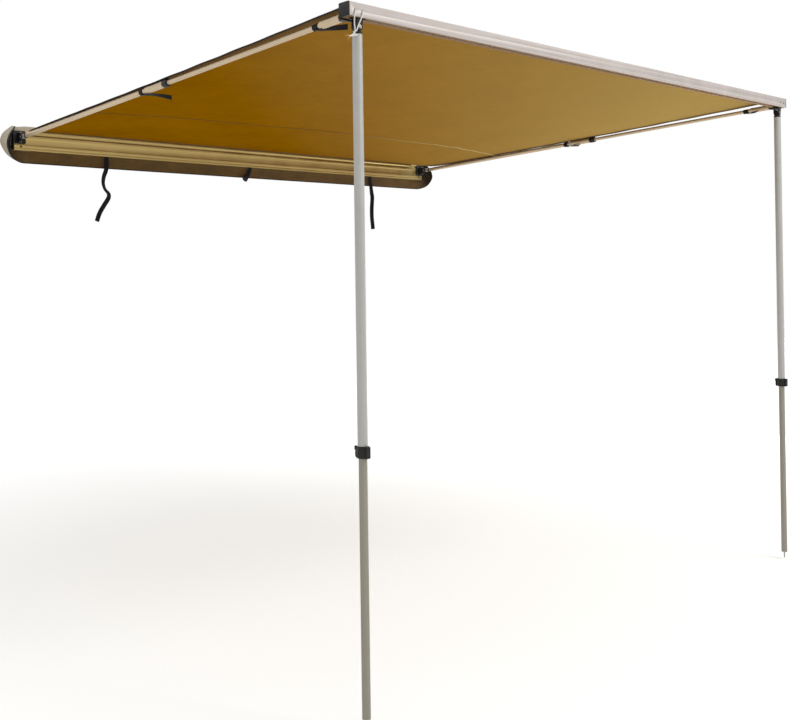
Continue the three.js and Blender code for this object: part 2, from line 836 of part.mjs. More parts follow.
function bandGeometry(tubeRadius, start, tail) {
  const bore = tubeRadius + band.slack;
  const outer = bore + band.thickness;
  const loop = pipe(outer, bore, start, start + band.width, bodySides);
  const stations = [
    [0, -outer + band.thickness / 3, start + band.width / 2],
    [0, -outer - band.tailDrop / 3, start + band.width],
    [0, -outer - band.tailDrop, start + band.width + tail / 3],
    [0, -outer - band.tailDrop, start + band.width + (2 * tail) / 3],
    [0, -outer - band.tailEnd, start + band.width + tail],
  ];
  const points = smoothPath(stations, bandSteps);
  const across = points.map(() => new THREE.Vector3(1, 0, 0));
  const strip = ribbon(points, across, band.tailWidth / 2, band.thickness / 2);
  const room = drum(bore, start - band.width, start + 2 * band.width, bodySides);
  return cut(joined(loop, strip), room);
}

function addBands() {
  const rear = bandGeometry(rearTube.radius, rearBand.start, rearBand.tail);
  addPair("arm_band_rear", onArm(rear), "blackWebbing");
  const front = bandGeometry(frontTube.radius, armLength - frontBand.fromPin, frontBand.tail);
  addPair("arm_band_front", onArm(front), "blackWebbing");
}

// Legs

const legX = -railEnd + leg.inset;
const legY = frontRailMiddle;
const pivotZ = frontRailRise - leg.pivotDrop;
const upperTubeTop = pivotZ - legHead.flangeEnd;
const clampFoot = upperTubeTop - upperTube.length;
const upperTubeEnd = clampFoot + clamp.step;
const groundLevel = frontRailRise - legDrop;
const lowerTubeTop = upperTubeEnd + lowerTube.overlap;

function addLegBrackets() {
  const plate = boxBetween(
    [legX - legBracket.halfLength, legY - legBracket.halfDepth, frontRailRise - legBracket.plate],
    [legX + legBracket.halfLength, legY + legBracket.halfDepth, frontRailRise],
  );
  const top = frontRailRise - legBracket.plate / 2;
  const outline = roundedTab(legX, top, pivotZ, legCheek.radius);
  const hole = circle(legX, pivotZ, legPin.radius + fit.pin, pinSides);
  const from = legBracket.cheekInner;
  const to = from + legBracket.cheek;
  const front = prism("y", outline, legY - to, legY - from, [hole]);
  const rear = prism("y", outline, legY + from, legY + to, [hole]);
  addPair("leg_bracket", joined(plate, front, rear), "blackPlastic");
}

function addLegPins() {
  const reach = legBracket.cheekInner + legBracket.cheek + fit.seam;
  const pin = headedPin(legPin.radius, legPin.head, legPin.headLength, -reach, reach);
  addPair("leg_pin", closed(pin.rotateX(Math.PI / 2).translate(legX, legY, pivotZ)), "steel");
}

function addLegHeads() {
  const base = -legHead.shoulder - wall;
  const tongueOutline = roundedTab(0, base, 0, legHead.radius);
  const hole = circle(0, 0, legPin.radius + fit.pin, pinSides);
  const tongue = prism("y", tongueOutline, -legHead.halfDepth, legHead.halfDepth, [hole]);
  const profile = [
    [0, -legPlug.end],
    [legPlug.radius, -legPlug.end],
    [legPlug.radius, -legHead.flangeEnd],
    [legHead.flange, -legHead.flangeEnd],
    [legHead.flange, -legHead.shoulder],
    [0, -legHead.shoulder],
  ];
  const head = joined(tongue, turned(profile, bodySides));
  addPair("leg_head", closed(head.translate(legX, legY, pivotZ)), "blackPlastic");
}

function addUpperTubes() {
  const tube = pipe(upperTube.radius, upperTube.bore, upperTubeEnd, upperTubeTop, tubeSides);
  addPair("leg_upper_tube", closed(tube.translate(legX, legY, 0)), "paleAluminium");
}

function addLowerTubes() {
  const tube = pipe(lowerTube.radius, lowerTube.bore, groundLevel, lowerTubeTop, tubeSides);
  addPair("leg_lower_tube", closed(tube.translate(legX, legY, 0)), "legAluminium");
}

function addClamps() {
  const wide = upperTube.radius + fit.turned;
  const narrow = lowerTube.radius + fit.turned;
  const height = clamp.height;
  const profile = [
    [narrow, 0],
    [clamp.radius - clamp.round, 0],
    [clamp.radius, clamp.round],
    [clamp.radius, height - clamp.round],
    [clamp.radius - clamp.round, height],
    [wide, height],
    [wide, clamp.step - fit.seam],
    [narrow, clamp.step - fit.seam],
  ];
  const sleeve = turned(profile, bodySides, true);
  const earOutline = chamferedRectangle(
    -clamp.earReach,
    -upperTube.radius - wall,
    0,
    height,
    clamp.round,
  );
  const pinchEar = prism("x", earOutline, -clamp.earHalf, clamp.earHalf);
  const lugOutline = chamferedRectangle(
    upperTube.radius + wall,
    clampLug.reach,
    height - clampLug.height,
    height,
    clamp.round,
  );
  const axle = circle(lever.out, height - clampLug.level, clampLug.bore, pinSides);
  const lugs = [-clampLug.outer, clampLug.inner].map((from) =>
    prism("x", lugOutline, from, from + clampLug.outer - clampLug.inner, [axle]),
  );
  const body = joined(sleeve, pinchEar, ...lugs);
  addPair("leg_clamp", closed(body.translate(legX, legY, clampFoot)), "blackPlastic");
}

function addLevers() {
  const level = clamp.height - clampLug.level;
  const barrelHalf = clampLug.inner - fit.turned;
  const turnBarrel = (radius, half) =>
    closed(
      drum(radius, -half, half, pinSides)
        .rotateY(Math.PI / 2)
        .translate(0, lever.out, level),
    );
  const barrel = turnBarrel(lever.barrel, barrelHalf);
  const axle = turnBarrel(lever.axle, clampLug.outer);
  const neckFoot = clamp.height - clampLug.height - 2 * wall;
  const neck = boxBetween(
    [-barrelHalf, lever.tailInner, neckFoot],
    [barrelHalf, lever.tailOuter - wall / 2, level],
  );
  const tailTop = clamp.height - clampLug.height - wall / 2;
  const tail = prism(
    "x",
    [
      [lever.tailInner, 0],
      [lever.tailInner + wall, 0],
      [lever.tailOuter, clamp.step / 2],
      [lever.tailOuter, tailTop],
      [lever.tailInner, tailTop],
    ],
    -lever.tailHalf,
    lever.tailHalf,
  );
  const whole = joined(barrel, axle, neck, tail);
  addPair("leg_lever", closed(whole.translate(legX, legY, clampFoot)), "blackPlastic");
}

function addFeet() {
  const profile = [
    [0, -foot.cap - foot.spikeLength],
    [foot.spikeRadius, -foot.cap - foot.spikeLength + foot.point],
    [foot.spikeRadius, -foot.cap],
    [lowerTube.radius, -foot.cap],
    [lowerTube.radius, 0],
    [lowerTube.bore - fit.slide, 0],
    [lowerTube.bore - fit.slide, foot.plugLength],
    [0, foot.plugLength],
  ];
  const body = turned(profile, bodySides).translate(legX, legY, groundLevel);
  addPair("leg_foot", closed(body), "steel");
}

// Canopy: a bead in each rail and a taut sheet between, whose sides rest on the arms

function canopyStations() {
  const rearNeck = canopyBeadRear.z;
  const rearBead = rearNeck - bead.neckDepth - bead.pocket * beadSeatShare;
  const exitZ = rearNeck + canopyRise.lift;
  const frontBead = canopyBeadFront.y - bead.neckDepth - bead.pocket * beadSeatShare;
  const stations = [];
  const half = canopy.thickness / 2;
  for (const [along, thick] of beadShares) {
    const z = rearBead + along * (bead.body - half / 2);
    stations.push({ y: canopyBeadRear.y, z, half: thick * bead.body, span: 0, ny: 1, nz: 0 });
  }
  stations.push({ y: canopyBeadRear.y, z: rearNeck, half, span: 0, ny: 1, nz: 0 });
  const bendY = canopyBeadRear.y - canopyRise.turn;
  const bend = Math.SQRT1_2;
  stations.push({ y: bendY, z: exitZ - canopyRise.turn / 2, half, span: 0, ny: bend, nz: bend });
  const startY = backFace - canopyRise.lead;
  const endY = canopyBeadFront.y + canopyRise.lead;
  for (const span of canopySpans) {
    const y = startY + (endY - startY) * span;
    const z = exitZ + (canopyBeadFront.z - exitZ) * span;
    stations.push({ y, z, half, span, ny: 0, nz: 1 });
  }
  stations.push({ y: canopyBeadFront.y, z: canopyBeadFront.z, half, span: 1, ny: 0, nz: 1 });
  for (const [along, thick] of beadShares) {
    const y = frontBead - along * (bead.body - half / 2);
    const row = { y, z: canopyBeadFront.z, half: thick * bead.body, span: 1, ny: 0, nz: 1 };
    stations.push(row);
  }
  return stations;
}

const canopyPath = canopyStations();

function canopyHalfWidth(span) {
  const narrowing = canopy.rearInset - canopy.sideInset;
  return railEnd - canopy.sideInset - narrowing * Math.exp(-span / canopyEase.widening);
}

// How far the sheet's side hangs below the straight line from rail to rail, down to the arms.
function canopySideDrop(station) {
  const armTop = rearTube.radius + band.slack + band.thickness + canopy.thickness / 2;
  const rest = armTop + canopy.restGap;
  const armZ = arm.level + (tiltY - station.y) * Math.tan(armSlope);
  const settle = Math.exp(-station.span / canopyEase.settling);
  const lift = Math.pow(station.span, canopyEase.lifting);
  return Math.max(0, (station.z - armZ - rest) * (1 - settle - lift));
}

function canopyDrop(across, station) {
  const { span } = station;
  const belly = 4 * span * (1 - span);
  const wave = Math.sin(2 * Math.PI * (canopyWave.along * span + canopyWave.across * across));
  const middle = belly * (canopy.sag + canopyWave.height * (1 - across * across) * wave);
  const share = Math.pow(Math.abs(across), canopyEase.hugging);
  return middle + (canopySideDrop(station) - middle) * share;
}

function canopyPoint(u, v, side) {
  const station = canopyPath[Math.round(v * (canopyPath.length - 1))];
  const across = 2 * u - 1;
  const x = across * canopyHalfWidth(station.span);
  const shift = side * station.half;
  const drop = canopyDrop(across, station);
  return [x, station.y + shift * station.ny, station.z + shift * station.nz - drop];
}

function addCanopy() {
  const rows = canopyPath.length - 1;
  const upper = (u, v) => canopyPoint(u, v, 1);
  const lower = (u, v) => canopyPoint(u, v, -1);
  add("canopy", sheetSolid(canopyColumns, rows, upper, lower), "canopyCloth");
}

// Bag: a flap hung from the back rail's foot, with rounded ends that curl forward

const flapRootY = -bagBead.lowerFromRear;
const flapRimY = flapRootY - bag.flapLean;
const flapRimZ = backRailFoot - bag.flapDrop;
const flapHalfLength = railEnd - bag.sideStart;

// The left bag end runs from the flap's seam out past the rail's end and up to the top.
// Each station is a share of the bulge past the rail's end, of the reach in front of the rail
// (or, when positive, of the rail's depth behind its front face) and of the flap's full drop.
const bagEndShares = {
  root: [
    [-0.09, 0.58, -0.47],
    [-0.114, 0.61, -0.36],
    [-0.114, 0.667, -0.12],
    [-0.114, 0.667, 0.14],
    [-0.114, 0.61, 0.46],
  ],
  belly: [
    [-0.03, 0.33, -0.82],
    [-0.73, 0.055, -0.62],
    [-1, -0.107, -0.14],
    [-0.88, -0.107, 0.26],
    [-0.42, 0.167, 0.58],
  ],
  rim: [
    [0.12, 0, -0.985],
    [-0.545, -0.607, -0.744],
    [-0.758, -1, -0.2],
    [-0.667, -0.964, 0.22],
    [-0.303, -0.536, 0.563],
  ],
};

const bagEndStarts = {
  root: [bag.sideStart, flapRootY, backRailFoot - fit.seam],
  belly: [bag.sideStart, (flapRootY + flapRimY) / 2, (backRailFoot - fit.seam + flapRimZ) / 2],
  rim: [bag.sideStart, flapRimY, flapRimZ],
};

function bagEndStations(name) {
  const [inward, y, z] = bagEndStarts[name];
  const rest = bagEndShares[name].map(([past, out, up]) => [
    -railEnd + past * bagEnd.bulge,
    backFace + out * (out > 0 ? backRailDepth : bagEnd.forward),
    up * -flapRimZ,
  ]);
  return [[-railEnd + inward, y, z], ...rest];
}

function bagEndCurve(stations) {
  const points = stations.map((place) => new THREE.Vector3(...place));
  return new THREE.CatmullRomCurve3(points, false, "centripetal");
}

const bagEndCurves = {
  root: bagEndCurve(bagEndStations("root")),
  belly: bagEndCurve(bagEndStations("belly")),
  rim: bagEndCurve(bagEndStations("rim")),
};

function bagEndPoint(u, v) {
  const a = bagEndCurves.root.getPoint(u);
  const b = bagEndCurves.belly.getPoint(u);
  const c = bagEndCurves.rim.getPoint(u);
  const point = a.multiplyScalar(2 * (v - 0.5) * (v - 1));
  point.addScaledVector(b, 4 * v * (1 - v));
  return point.addScaledVector(c, 2 * v * (v - 0.5));
}

function bagEndNormal(u, v) {
  const [u0, u1] = [Math.max(u - normalStepShare, 0), Math.min(u + normalStepShare, 1)];
  const [v0, v1] = [Math.max(v - normalStepShare, 0), Math.min(v + normalStepShare, 1)];
  const alongU = bagEndPoint(u1, v).sub(bagEndPoint(u0, v));
  const alongV = bagEndPoint(u, v1).sub(bagEndPoint(u, v0));
  return alongU.cross(alongV).normalize();
}

// The cloth stops where the zip tape starts, a share of the way down the flap.
const zipShare = 1 - (zip.width + zip.gap) / bag.flapDrop;

function addBagEnds() {
  const face = (side) => (u, v) => {
    const at = [seamShare + u * (1 - seamShare), v * zipShare];
    const point = bagEndPoint(...at);
    return point.addScaledVector(bagEndNormal(...at), (side * bag.thickness) / 2).toArray();
  };
  const sheet = sheetSolid(bagEndColumns, bagEndRows, face(1), face(-1));
  addPair("bag_end", sheet, "bagVinyl");
}

function flapPoint(x, v, side) {
  const wave = Math.sin((Math.PI * bag.flapWaves * x) / railLength) * bag.flapWave * v;
  const y = flapRootY + (flapRimY - flapRootY) * v + (side * bag.thickness) / 2 + wave;
  const top = backRailFoot - fit.seam;
  return [x, y, top + (flapRimZ - top) * v];
}

function addBagFlap() {
  const reach = flapHalfLength - fit.seam;
  const face = (side) => (u, v) => flapPoint((2 * u - 1) * reach, v * zipShare, side);
  const sheet = sheetSolid(flapColumns, flapRows, face(1), face(-1));
  const beadTop = backRailFoot - bead.neckDepth / 2;
  const beadMiddle = backRailFoot + bead.neckDepth + bagBead.pocket * beadSeatShare;
  const rod = drum(bagBead.body, -reach, reach, pinSides)
    .rotateY(Math.PI / 2)
    .translate(0, flapRootY, beadMiddle);
  const neck = boxBetween(
    [-reach, flapRootY - bag.thickness / 2, beadTop],
    [reach, flapRootY + bag.thickness / 2, beadMiddle],
  );
  add("bag_flap", joined(sheet, neck, closed(rod)), "bagVinyl");
}

// The zip tape follows the rim of the flap and of both ends.
function zipRings() {
  const rings = [];
  const corners = [
    [0, -1],
    [1, -1],
    [1, 1],
    [0, 1],
  ];
  const endSteps = 2 * bagEndColumns;
  const start = zipShare + zip.gap / bag.flapDrop;
  const ringAt = (u) =>
    corners.map(([wide, thick]) => {
      const v = start + (1 - start) * wide;
      const point = bagEndPoint(u, v);
      return point.addScaledVector(bagEndNormal(u, v), thick * zip.halfThickness).toArray();
    });
  for (let i = endSteps; i > 0; i -= 1) rings.push(ringAt(i / endSteps));
  const side = -1;
  const flapSteps = flapColumns;
  for (let i = 0; i <= flapSteps; i += 1) {
    const x = ((2 * i) / flapSteps - 1) * flapHalfLength;
    rings.push(
      corners.map(([wide, thick]) => {
        const v = start + (1 - start) * wide;
        const [px, py, pz] = flapPoint(x, v, 0);
        return [px, py + side * thick * zip.halfThickness, pz];
      }),
    );
  }
  for (let i = 1; i <= endSteps; i += 1) {
    rings.push(ringAt(i / endSteps).map(([px, py, pz]) => [-px, py, pz]));
  }
  return rings;
}

function addZip() {
  add("bag_zip", loft(zipRings()), "blackWebbing");
}

// The bag's other half, folded along the top of the back rail behind the canopy.
function lidPoint(u, v, side) {
  const x = (2 * u - 1) * (railEnd - wall);
  const ease = Math.min(1, (1 - Math.abs(2 * u - 1)) / lidShares.endEase);
  const front = backFace + bead.fromFront + lid.front;
  const rear = -lid.rear;
  const middle = (front + rear) / 2;
  const half = (rear - front) / 2 - (side < 0 ? lid.thickness : 0);
  const wave = Math.sin(Math.PI * 2 * lid.waves * u) * lid.wave * ease;
  const height = lidShares.lowest + (1 - lidShares.lowest) * ease;
  const rise = (lid.rise - (side < 0 ? lid.thickness : 0)) * height + wave;
  const angle = Math.PI * v;
  const base = backRailTop + fit.seam;
  return [x, middle - half * Math.cos(angle), base + rise * Math.sin(angle) ** lidShares.roundness];
}

function addLid() {
  const outer = (u, v) => lidPoint(u, v, 1);
  const inner = (u, v) => lidPoint(u, v, -1);
  add("bag_lid", sheetSolid(lidColumns, lidRows, outer, inner), "bagVinyl");
}

// Webbing that hangs from the rail's foot. Each station is a share of the strap's hang to the side
// and downward, a share of its distance in front of the flap's root, and a turn in degrees.

const strapShares = {
  left: [
    [0, 0, 0.95, 0],
    [-0.003, 0.099, 0.97, 0],
    [-0.013, 0.204, 1, 5],
    [-0.049, 0.303, 1, 25],
    [-0.0625, 0.408, 1, 70],
    [-0.036, 0.5, 1.06, 95],
    [0.023, 0.572, 1.12, 60],
    [0.023, 0.625, 1.12, 30],
    [-0.049, 0.743, 1.06, 12],
    [-0.128, 0.875, 1, 5],
    [-0.174, 1, 1, 0],
  ],
  right: [
    [0, 0, 0.95, 0],
    [0.003, 0.099, 0.97, 0],
    [0.023, 0.197, 1, 0],
    [0.043, 0.303, 1, 20],
    [0.0625, 0.428, 1.06, 65],
    [0.066, 0.526, 1.06, 85],
    [0.053, 0.658, 1.06, 60],
    [0.043, 0.822, 1, 30],
    [0.04, 1, 1, 10],
  ],
  middle: [
    [0, 0, 0.95, 0],
    [0, 0.26, 0.97, 0],
    [-0.16, 0.64, 1, 0],
    [-0.4, 1, 1.06, 0],
  ],
};

function strapStations(name) {
  const at = strap[`${name}At`];
  const hang = name === "middle" ? strap.middleHang : strap.hang;
  return strapShares[name].map(([side, down, out, turn]) => [
    at + side * hang,
    backRailFoot - strap.gap - down * hang,
    flapRootY - out * strap.out,
    turn,
  ]);
}

const strapSteps = { left: 40, right: 34, middle: 6 };

function strapGeometry(stations, steps) {
  const points = smoothPath(
    stations.map(([x, z, y]) => [x, y, z]),
    steps,
  );
  const turns = new THREE.CatmullRomCurve3(
    stations.map(([, z, , turn]) => new THREE.Vector3(turn, z, 0)),
  );
  const across = points.map((point, i) => {
    const turn = THREE.MathUtils.degToRad(turns.getPoint(i / steps).x);
    return new THREE.Vector3(Math.cos(turn), Math.sin(turn), 0);
  });
  return ribbon(points, across, webbing.width / 2, webbing.thickness / 2);
}

function addStraps() {
  for (const name of ["left", "right", "middle"]) {
    const geometry = strapGeometry(strapStations(name), strapSteps[name]);
    add(`strap_${name}`, geometry, "blackWebbing");
  }
}

// The buckle hangs in line with the last stretch of its strap.
function addBuckle() {
  const [before, last] = strapStations("middle").slice(-2);
  const lean = Math.atan2(before[0] - last[0], before[1] - last[1]);
  const outline = chamferedRectangle(
    -buckle.halfWidth,
    buckle.halfWidth,
    -buckle.gap - buckle.height,
    -buckle.gap,
    buckle.chamfer,
  );
  const body = prism("y", outline, -buckle.halfDepth, buckle.halfDepth)
    .rotateY(lean)
    .translate(last[0], last[2], last[1]);
  add("strap_buckle", closed(body), "blackPlastic");
}

// Guy cord: through the two holes in the front rail's near end and tied below it.
// Each station is [in from the rail's end, out from its front face, up from its underside].
const cordStations = [
  [-13, 9, -67],
  [-3, 8.5, -58],
  [9, 6.5, -50],
  [14, 5, -45],
  [14.5, 4.5, -38],
  [13, 4, -22],
  [14, 3.6, -4],
  [17, 3.6, 9],
  [18.6, 1.5, 16.5],
  [20, -4.5, 18.5],
  [26, -7.5, 19],
  [38, -7.5, 19],
  [43.5, -4.5, 18.5],
  [45, 1.5, 16.5],
  [43.5, 4, 8],
  [37, 4.2, -6],
  [28, 5, -22],
  [20, 7, -36],
  [15.5, 9.2, -42],
  [10.5, 7.5, -43.5],
  [9.8, 3.4, -45.5],
  [13.5, 1.4, -48],
  [18, 3, -50],
  [18.5, 7.5, -52],
  [13, 10.5, -55],
  [3, 11, -57.5],
  [-9, 11.5, -60],
  [-21, 12, -61],
];

function addCord() {
  const points = cordStations.map(
    ([inward, out, up]) =>
      new THREE.Vector3(-railEnd + inward, frontFace - out, frontRailRise + up),
  );
  const path = new THREE.CatmullRomCurve3(points, false, "centripetal");
  const section = new THREE.Shape(
    circle(0, 0, cordRadius, cordSides).map(([a, b]) => new THREE.Vector2(a, b)),
  );
  const tube = new THREE.ExtrudeGeometry(section, { steps: cordSteps, extrudePath: path });
  add("guy_cord", closed(tube), "whiteCord");
}

addBackRail();
addFrontRail();
addArmBrackets();
addSwingPins();
addYokes();
addTiltPins();
addRootFittings();
addArmRings();
addRearTubes();
addGrips();
addArmCollars();
addFrontTubes();
addEndSleeves();
addHooks();
addCornerBlocks();
addBands();
addLegBrackets();
addLegPins();
addLegHeads();
addUpperTubes();
addClamps();
addLevers();
addLowerTubes();
addFeet();
addCanopy();
addBagFlap();
addBagEnds();
addZip();
addLid();
addStraps();
addBuckle();
addCord();

export default group;
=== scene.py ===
# %% [markdown]
# # A pull-out side awning
# The awning hangs on a vehicle by its back rail. Two sliding arms push a front rail away from it,
# a canopy is stretched between the rails, and two telescopic legs stand under the front rail.
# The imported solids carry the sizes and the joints. This lesson gives them cloth, metal and plastic,
# and replaces the soft pieces and the turned pieces by finer surfaces in the same places.

# %% Load the frame
import json
import math

import bmesh
import bpy
import numpy as np
from mathutils import Matrix

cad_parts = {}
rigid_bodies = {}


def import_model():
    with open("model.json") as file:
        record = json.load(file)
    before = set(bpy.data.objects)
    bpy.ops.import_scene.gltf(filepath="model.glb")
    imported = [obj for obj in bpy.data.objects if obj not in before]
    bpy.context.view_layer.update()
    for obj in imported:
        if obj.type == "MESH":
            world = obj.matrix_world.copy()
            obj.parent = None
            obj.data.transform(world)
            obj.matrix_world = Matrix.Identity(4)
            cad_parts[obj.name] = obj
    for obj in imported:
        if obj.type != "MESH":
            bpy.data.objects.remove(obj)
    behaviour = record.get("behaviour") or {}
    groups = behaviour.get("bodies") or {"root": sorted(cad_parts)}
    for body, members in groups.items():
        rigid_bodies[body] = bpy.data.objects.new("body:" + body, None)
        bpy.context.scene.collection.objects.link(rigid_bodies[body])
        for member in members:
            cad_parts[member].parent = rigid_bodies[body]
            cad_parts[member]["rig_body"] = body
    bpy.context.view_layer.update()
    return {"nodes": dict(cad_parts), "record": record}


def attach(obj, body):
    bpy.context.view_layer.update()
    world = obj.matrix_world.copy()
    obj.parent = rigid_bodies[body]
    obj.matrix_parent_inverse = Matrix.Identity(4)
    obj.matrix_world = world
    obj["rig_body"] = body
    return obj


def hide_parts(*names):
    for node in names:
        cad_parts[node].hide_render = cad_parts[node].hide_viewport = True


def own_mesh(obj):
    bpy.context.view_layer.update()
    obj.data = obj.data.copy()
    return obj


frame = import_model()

# %% [markdown]
# ## Camera
# The camera stands a little to the left in front of the awning, low, and looks almost level. Its place
# was worked out from the rails and legs as square, level pieces. The horizon lies above the middle of
# the picture, so the lens is shifted instead of tipping the camera, which keeps the legs upright.

# %% Place the camera
IMAGE_WIDTH, IMAGE_HEIGHT = 790, 720
FOCAL_PIXELS = 1021.2
HORIZON_ROW = 270
CAMERA_PLACE = (-3.055, -4.472, -0.626)
CAMERA_YAW, CAMERA_PITCH, CAMERA_ROLL = 42.54, 0.38, -0.80


def camera_axes(yaw, pitch, roll):
    """Right, up and backward axes of a camera: yaw turns it from +Y towards +X, pitch lifts it, and
    roll leans its right-hand side."""
    y, p, r = (math.radians(a) for a in (yaw, pitch, roll))
    forward = np.array([math.sin(y) * math.cos(p), math.cos(y) * math.cos(p), math.sin(p)])
    right = np.array([math.cos(y), -math.sin(y), 0.0])
    up = np.cross(right, forward)
    leaning = right * math.cos(r) + up * math.sin(r)
    upright = up * math.cos(r) - right * math.sin(r)
    return leaning, upright, -forward


def add_object(name, data, axes=None, place=(0, 0, 0)):
    """Puts data in the scene as an object, at a place in metres and along its own three axes."""
    thing = bpy.data.objects.new(name, data)
    bpy.context.scene.collection.objects.link(thing)
    if axes:
        matrix = np.eye(4)
        matrix[:3, :3], matrix[:3, 3] = np.stack(axes, 1), place
        thing.matrix_world = Matrix(matrix.tolist())
    return thing


camera_data = bpy.data.cameras.new("camera")
camera_data.sensor_width = 36
camera_data.lens = FOCAL_PIXELS * camera_data.sensor_width / IMAGE_WIDTH
camera_data.shift_y = (HORIZON_ROW - IMAGE_HEIGHT / 2) / IMAGE_WIDTH
camera_data.clip_start, camera_data.clip_end = 0.05, 200
bpy.context.scene.camera = add_object(
    "camera", camera_data, camera_axes(CAMERA_YAW, CAMERA_PITCH, CAMERA_ROLL), CAMERA_PLACE)
bpy.context.scene.view_settings.view_transform = "Standard"
print("lens", round(camera_data.lens, 2), "mm, shift", round(camera_data.shift_y, 4))

# %% [markdown]
# ## Surfaces from numbers
# Every new piece is a grid of points worked out with numpy. Rows run along the piece and columns run
# round or across it. One helper numbers the quads of such a grid, and one turns points and quads into
# a mesh whose faces point outward. Sizes are written in millimetres, as the piece's maker would.

# %% Grid and mesh helpers
MM = 0.001
SHARP_ANGLE = math.radians(38)
SAME_POINT = 1e-7


def grid_quads(rows, columns, wrap_rows=False, wrap_columns=False):
    """Corner numbers of the quads of a grid that is stored row by row. A wrapped direction joins its
    last line to its first."""
    i = np.arange(rows if wrap_rows else rows - 1)
    j = np.arange(columns if wrap_columns else columns - 1)
    i, j = (a.ravel() for a in np.meshgrid(i, j, indexing="ij"))
    below, beside = (i + 1) % rows, (j + 1) % columns
    return np.stack([i * columns + j, below * columns + j, below * columns + beside,
                     i * columns + beside], 1)


def enclosed_volume(points, quads):
    """Six times the volume inside a closed surface: the sum of the triple products of its triangles."""
    a, b, c, d = (points[quads[:, k]] for k in range(4))
    first = np.einsum("ij,ij->", a, np.cross(b, c))
    return first + np.einsum("ij,ij->", a, np.cross(c, d))


def weld(mesh, distance=SAME_POINT, flat_angle=None):
    """Merges points that lie in the same place, which closes poles and seams, and then faces that
    meet at less than the flat angle, where one is given."""
    work = bmesh.new()
    work.from_mesh(mesh)
    bmesh.ops.remove_doubles(work, verts=work.verts, dist=distance)
    if flat_angle:
        bmesh.ops.dissolve_limit(work, angle_limit=flat_angle, verts=work.verts, edges=work.edges)
    work.to_mesh(mesh)
    work.free()


def place_piece(name, mesh, body, replaces=()):
    """Puts a finished mesh in the scene, smooth-shaded, on its body, and hides the nodes it stands for.
    """
    mesh.polygons.foreach_set("use_smooth", np.ones(len(mesh.polygons), bool))
    piece = add_object(name, mesh)
    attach(piece, body)
    if replaces:
        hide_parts(*replaces)
    return piece


def make_piece(name, points, quads, body, slot, materials, uv=None, values=None, faces=None,
               replaces=()):
    """Builds a piece from points in millimetres and quads. uv is one pair per point, values a dict of
    one number per point, and faces the material number of each quad. Edges that turn more than the
    sharp angle stay crisp."""
    points = np.asarray(points, float).reshape(-1, 3) * MM
    if enclosed_volume(points - points.mean(0), quads) < 0:
        quads = quads[:, ::-1]
    mesh = bpy.data.meshes.new(name)
    mesh.vertices.add(len(points))
    mesh.vertices.foreach_set("co", points.astype(np.float32).ravel())
    mesh.loops.add(quads.size)
    mesh.loops.foreach_set("vertex_index", quads.astype(np.int32).ravel())
    mesh.polygons.add(len(quads))
    mesh.polygons.foreach_set("loop_start", np.arange(0, quads.size, 4, dtype=np.int32))
    if faces is not None:
        mesh.polygons.foreach_set("material_index", np.asarray(faces, np.int32))
    if uv is not None:
        layer = mesh.uv_layers.new(name="surface")
        layer.data.foreach_set("uv", np.asarray(uv, np.float32)[quads.ravel()].ravel())
    for key, numbers in (values or {}).items():
        attribute = mesh.attributes.new(key, "FLOAT", "POINT")
        attribute.data.foreach_set("value", np.asarray(numbers, np.float32).ravel())
    mesh.update(calc_edges=True)
    weld(mesh)
    for material in materials:
        mesh.materials.append(material)
    piece = place_piece(name, mesh, body, replaces)
    mesh.set_sharp_from_angle(angle=SHARP_ANGLE)
    mesh.update()
    return piece


def joined(*shapes):
    """Several pairs of points and quads as one pair."""
    points = [part.reshape(-1, 3) for part, _ in shapes]
    before = np.cumsum([0] + [len(part) for part in points])
    return np.concatenate(points), np.concatenate([quads + k for (_, quads), k in zip(shapes, before)])


# %% Curves through stations
def curve_points(stations, places):
    """Points on a curve through the stations. Each stretch is a cubic that leans along its neighbours,
    with the stretches weighted by the square root of their length, so the curve has no loops. places
    run from 0 to 1 and share the stretches equally."""
    p = np.asarray(stations, float)
    p = np.vstack([2 * p[0] - p[1], p, 2 * p[-1] - p[-2]])
    gap = np.maximum(np.linalg.norm(np.diff(p[:, :3], axis=0), axis=1) ** 0.5, 1e-6)
    along = np.clip(np.asarray(places, float), 0, 1) * (len(p) - 3)
    k = np.minimum(along.astype(int), len(p) - 4)
    t = (along - k)[:, None]
    g0, g1, g2 = (gap[k + n][:, None] for n in range(3))
    a, b, c, d = (p[k + n] for n in range(4))
    start = ((b - a) / g0 - (c - a) / (g0 + g1) + (c - b) / g1) * g1
    end = ((c - b) / g1 - (d - b) / (g1 + g2) + (d - c) / g2) * g1
    return (b + start * t + (3 * (c - b) - 2 * start - end) * t**2
            + (2 * (b - c) + start + end) * t**3)


def lengths_along(points, axis=0):
    """Lengths from the start of a line to each of its points, or along one direction of a grid."""
    steps = np.diff(points, axis=axis, prepend=np.take(points, [0], axis))
    return np.cumsum(np.linalg.norm(steps, axis=-1), axis)


def even_points(stations, count, fine=40):
    """The same curve, with its points spaced evenly by length."""
    many = curve_points(stations, np.linspace(0, 1, fine * len(stations)))
    length = lengths_along(many[:, :3])
    wanted = np.linspace(0, length[-1], count)
    return np.stack([np.interp(wanted, length, many[:, n]) for n in range(many.shape[1])], 1)


def path_length(points):
    return float(np.linalg.norm(np.diff(np.asarray(points), axis=0), axis=1).sum())


def unit(vectors):
    return vectors / np.maximum(np.linalg.norm(vectors, axis=-1, keepdims=True), 1e-12)


def gathered(*coordinates):
    """Coordinates, each a number or a grid of numbers, as one grid of points."""
    return np.stack(np.broadcast_arrays(*coordinates), -1)


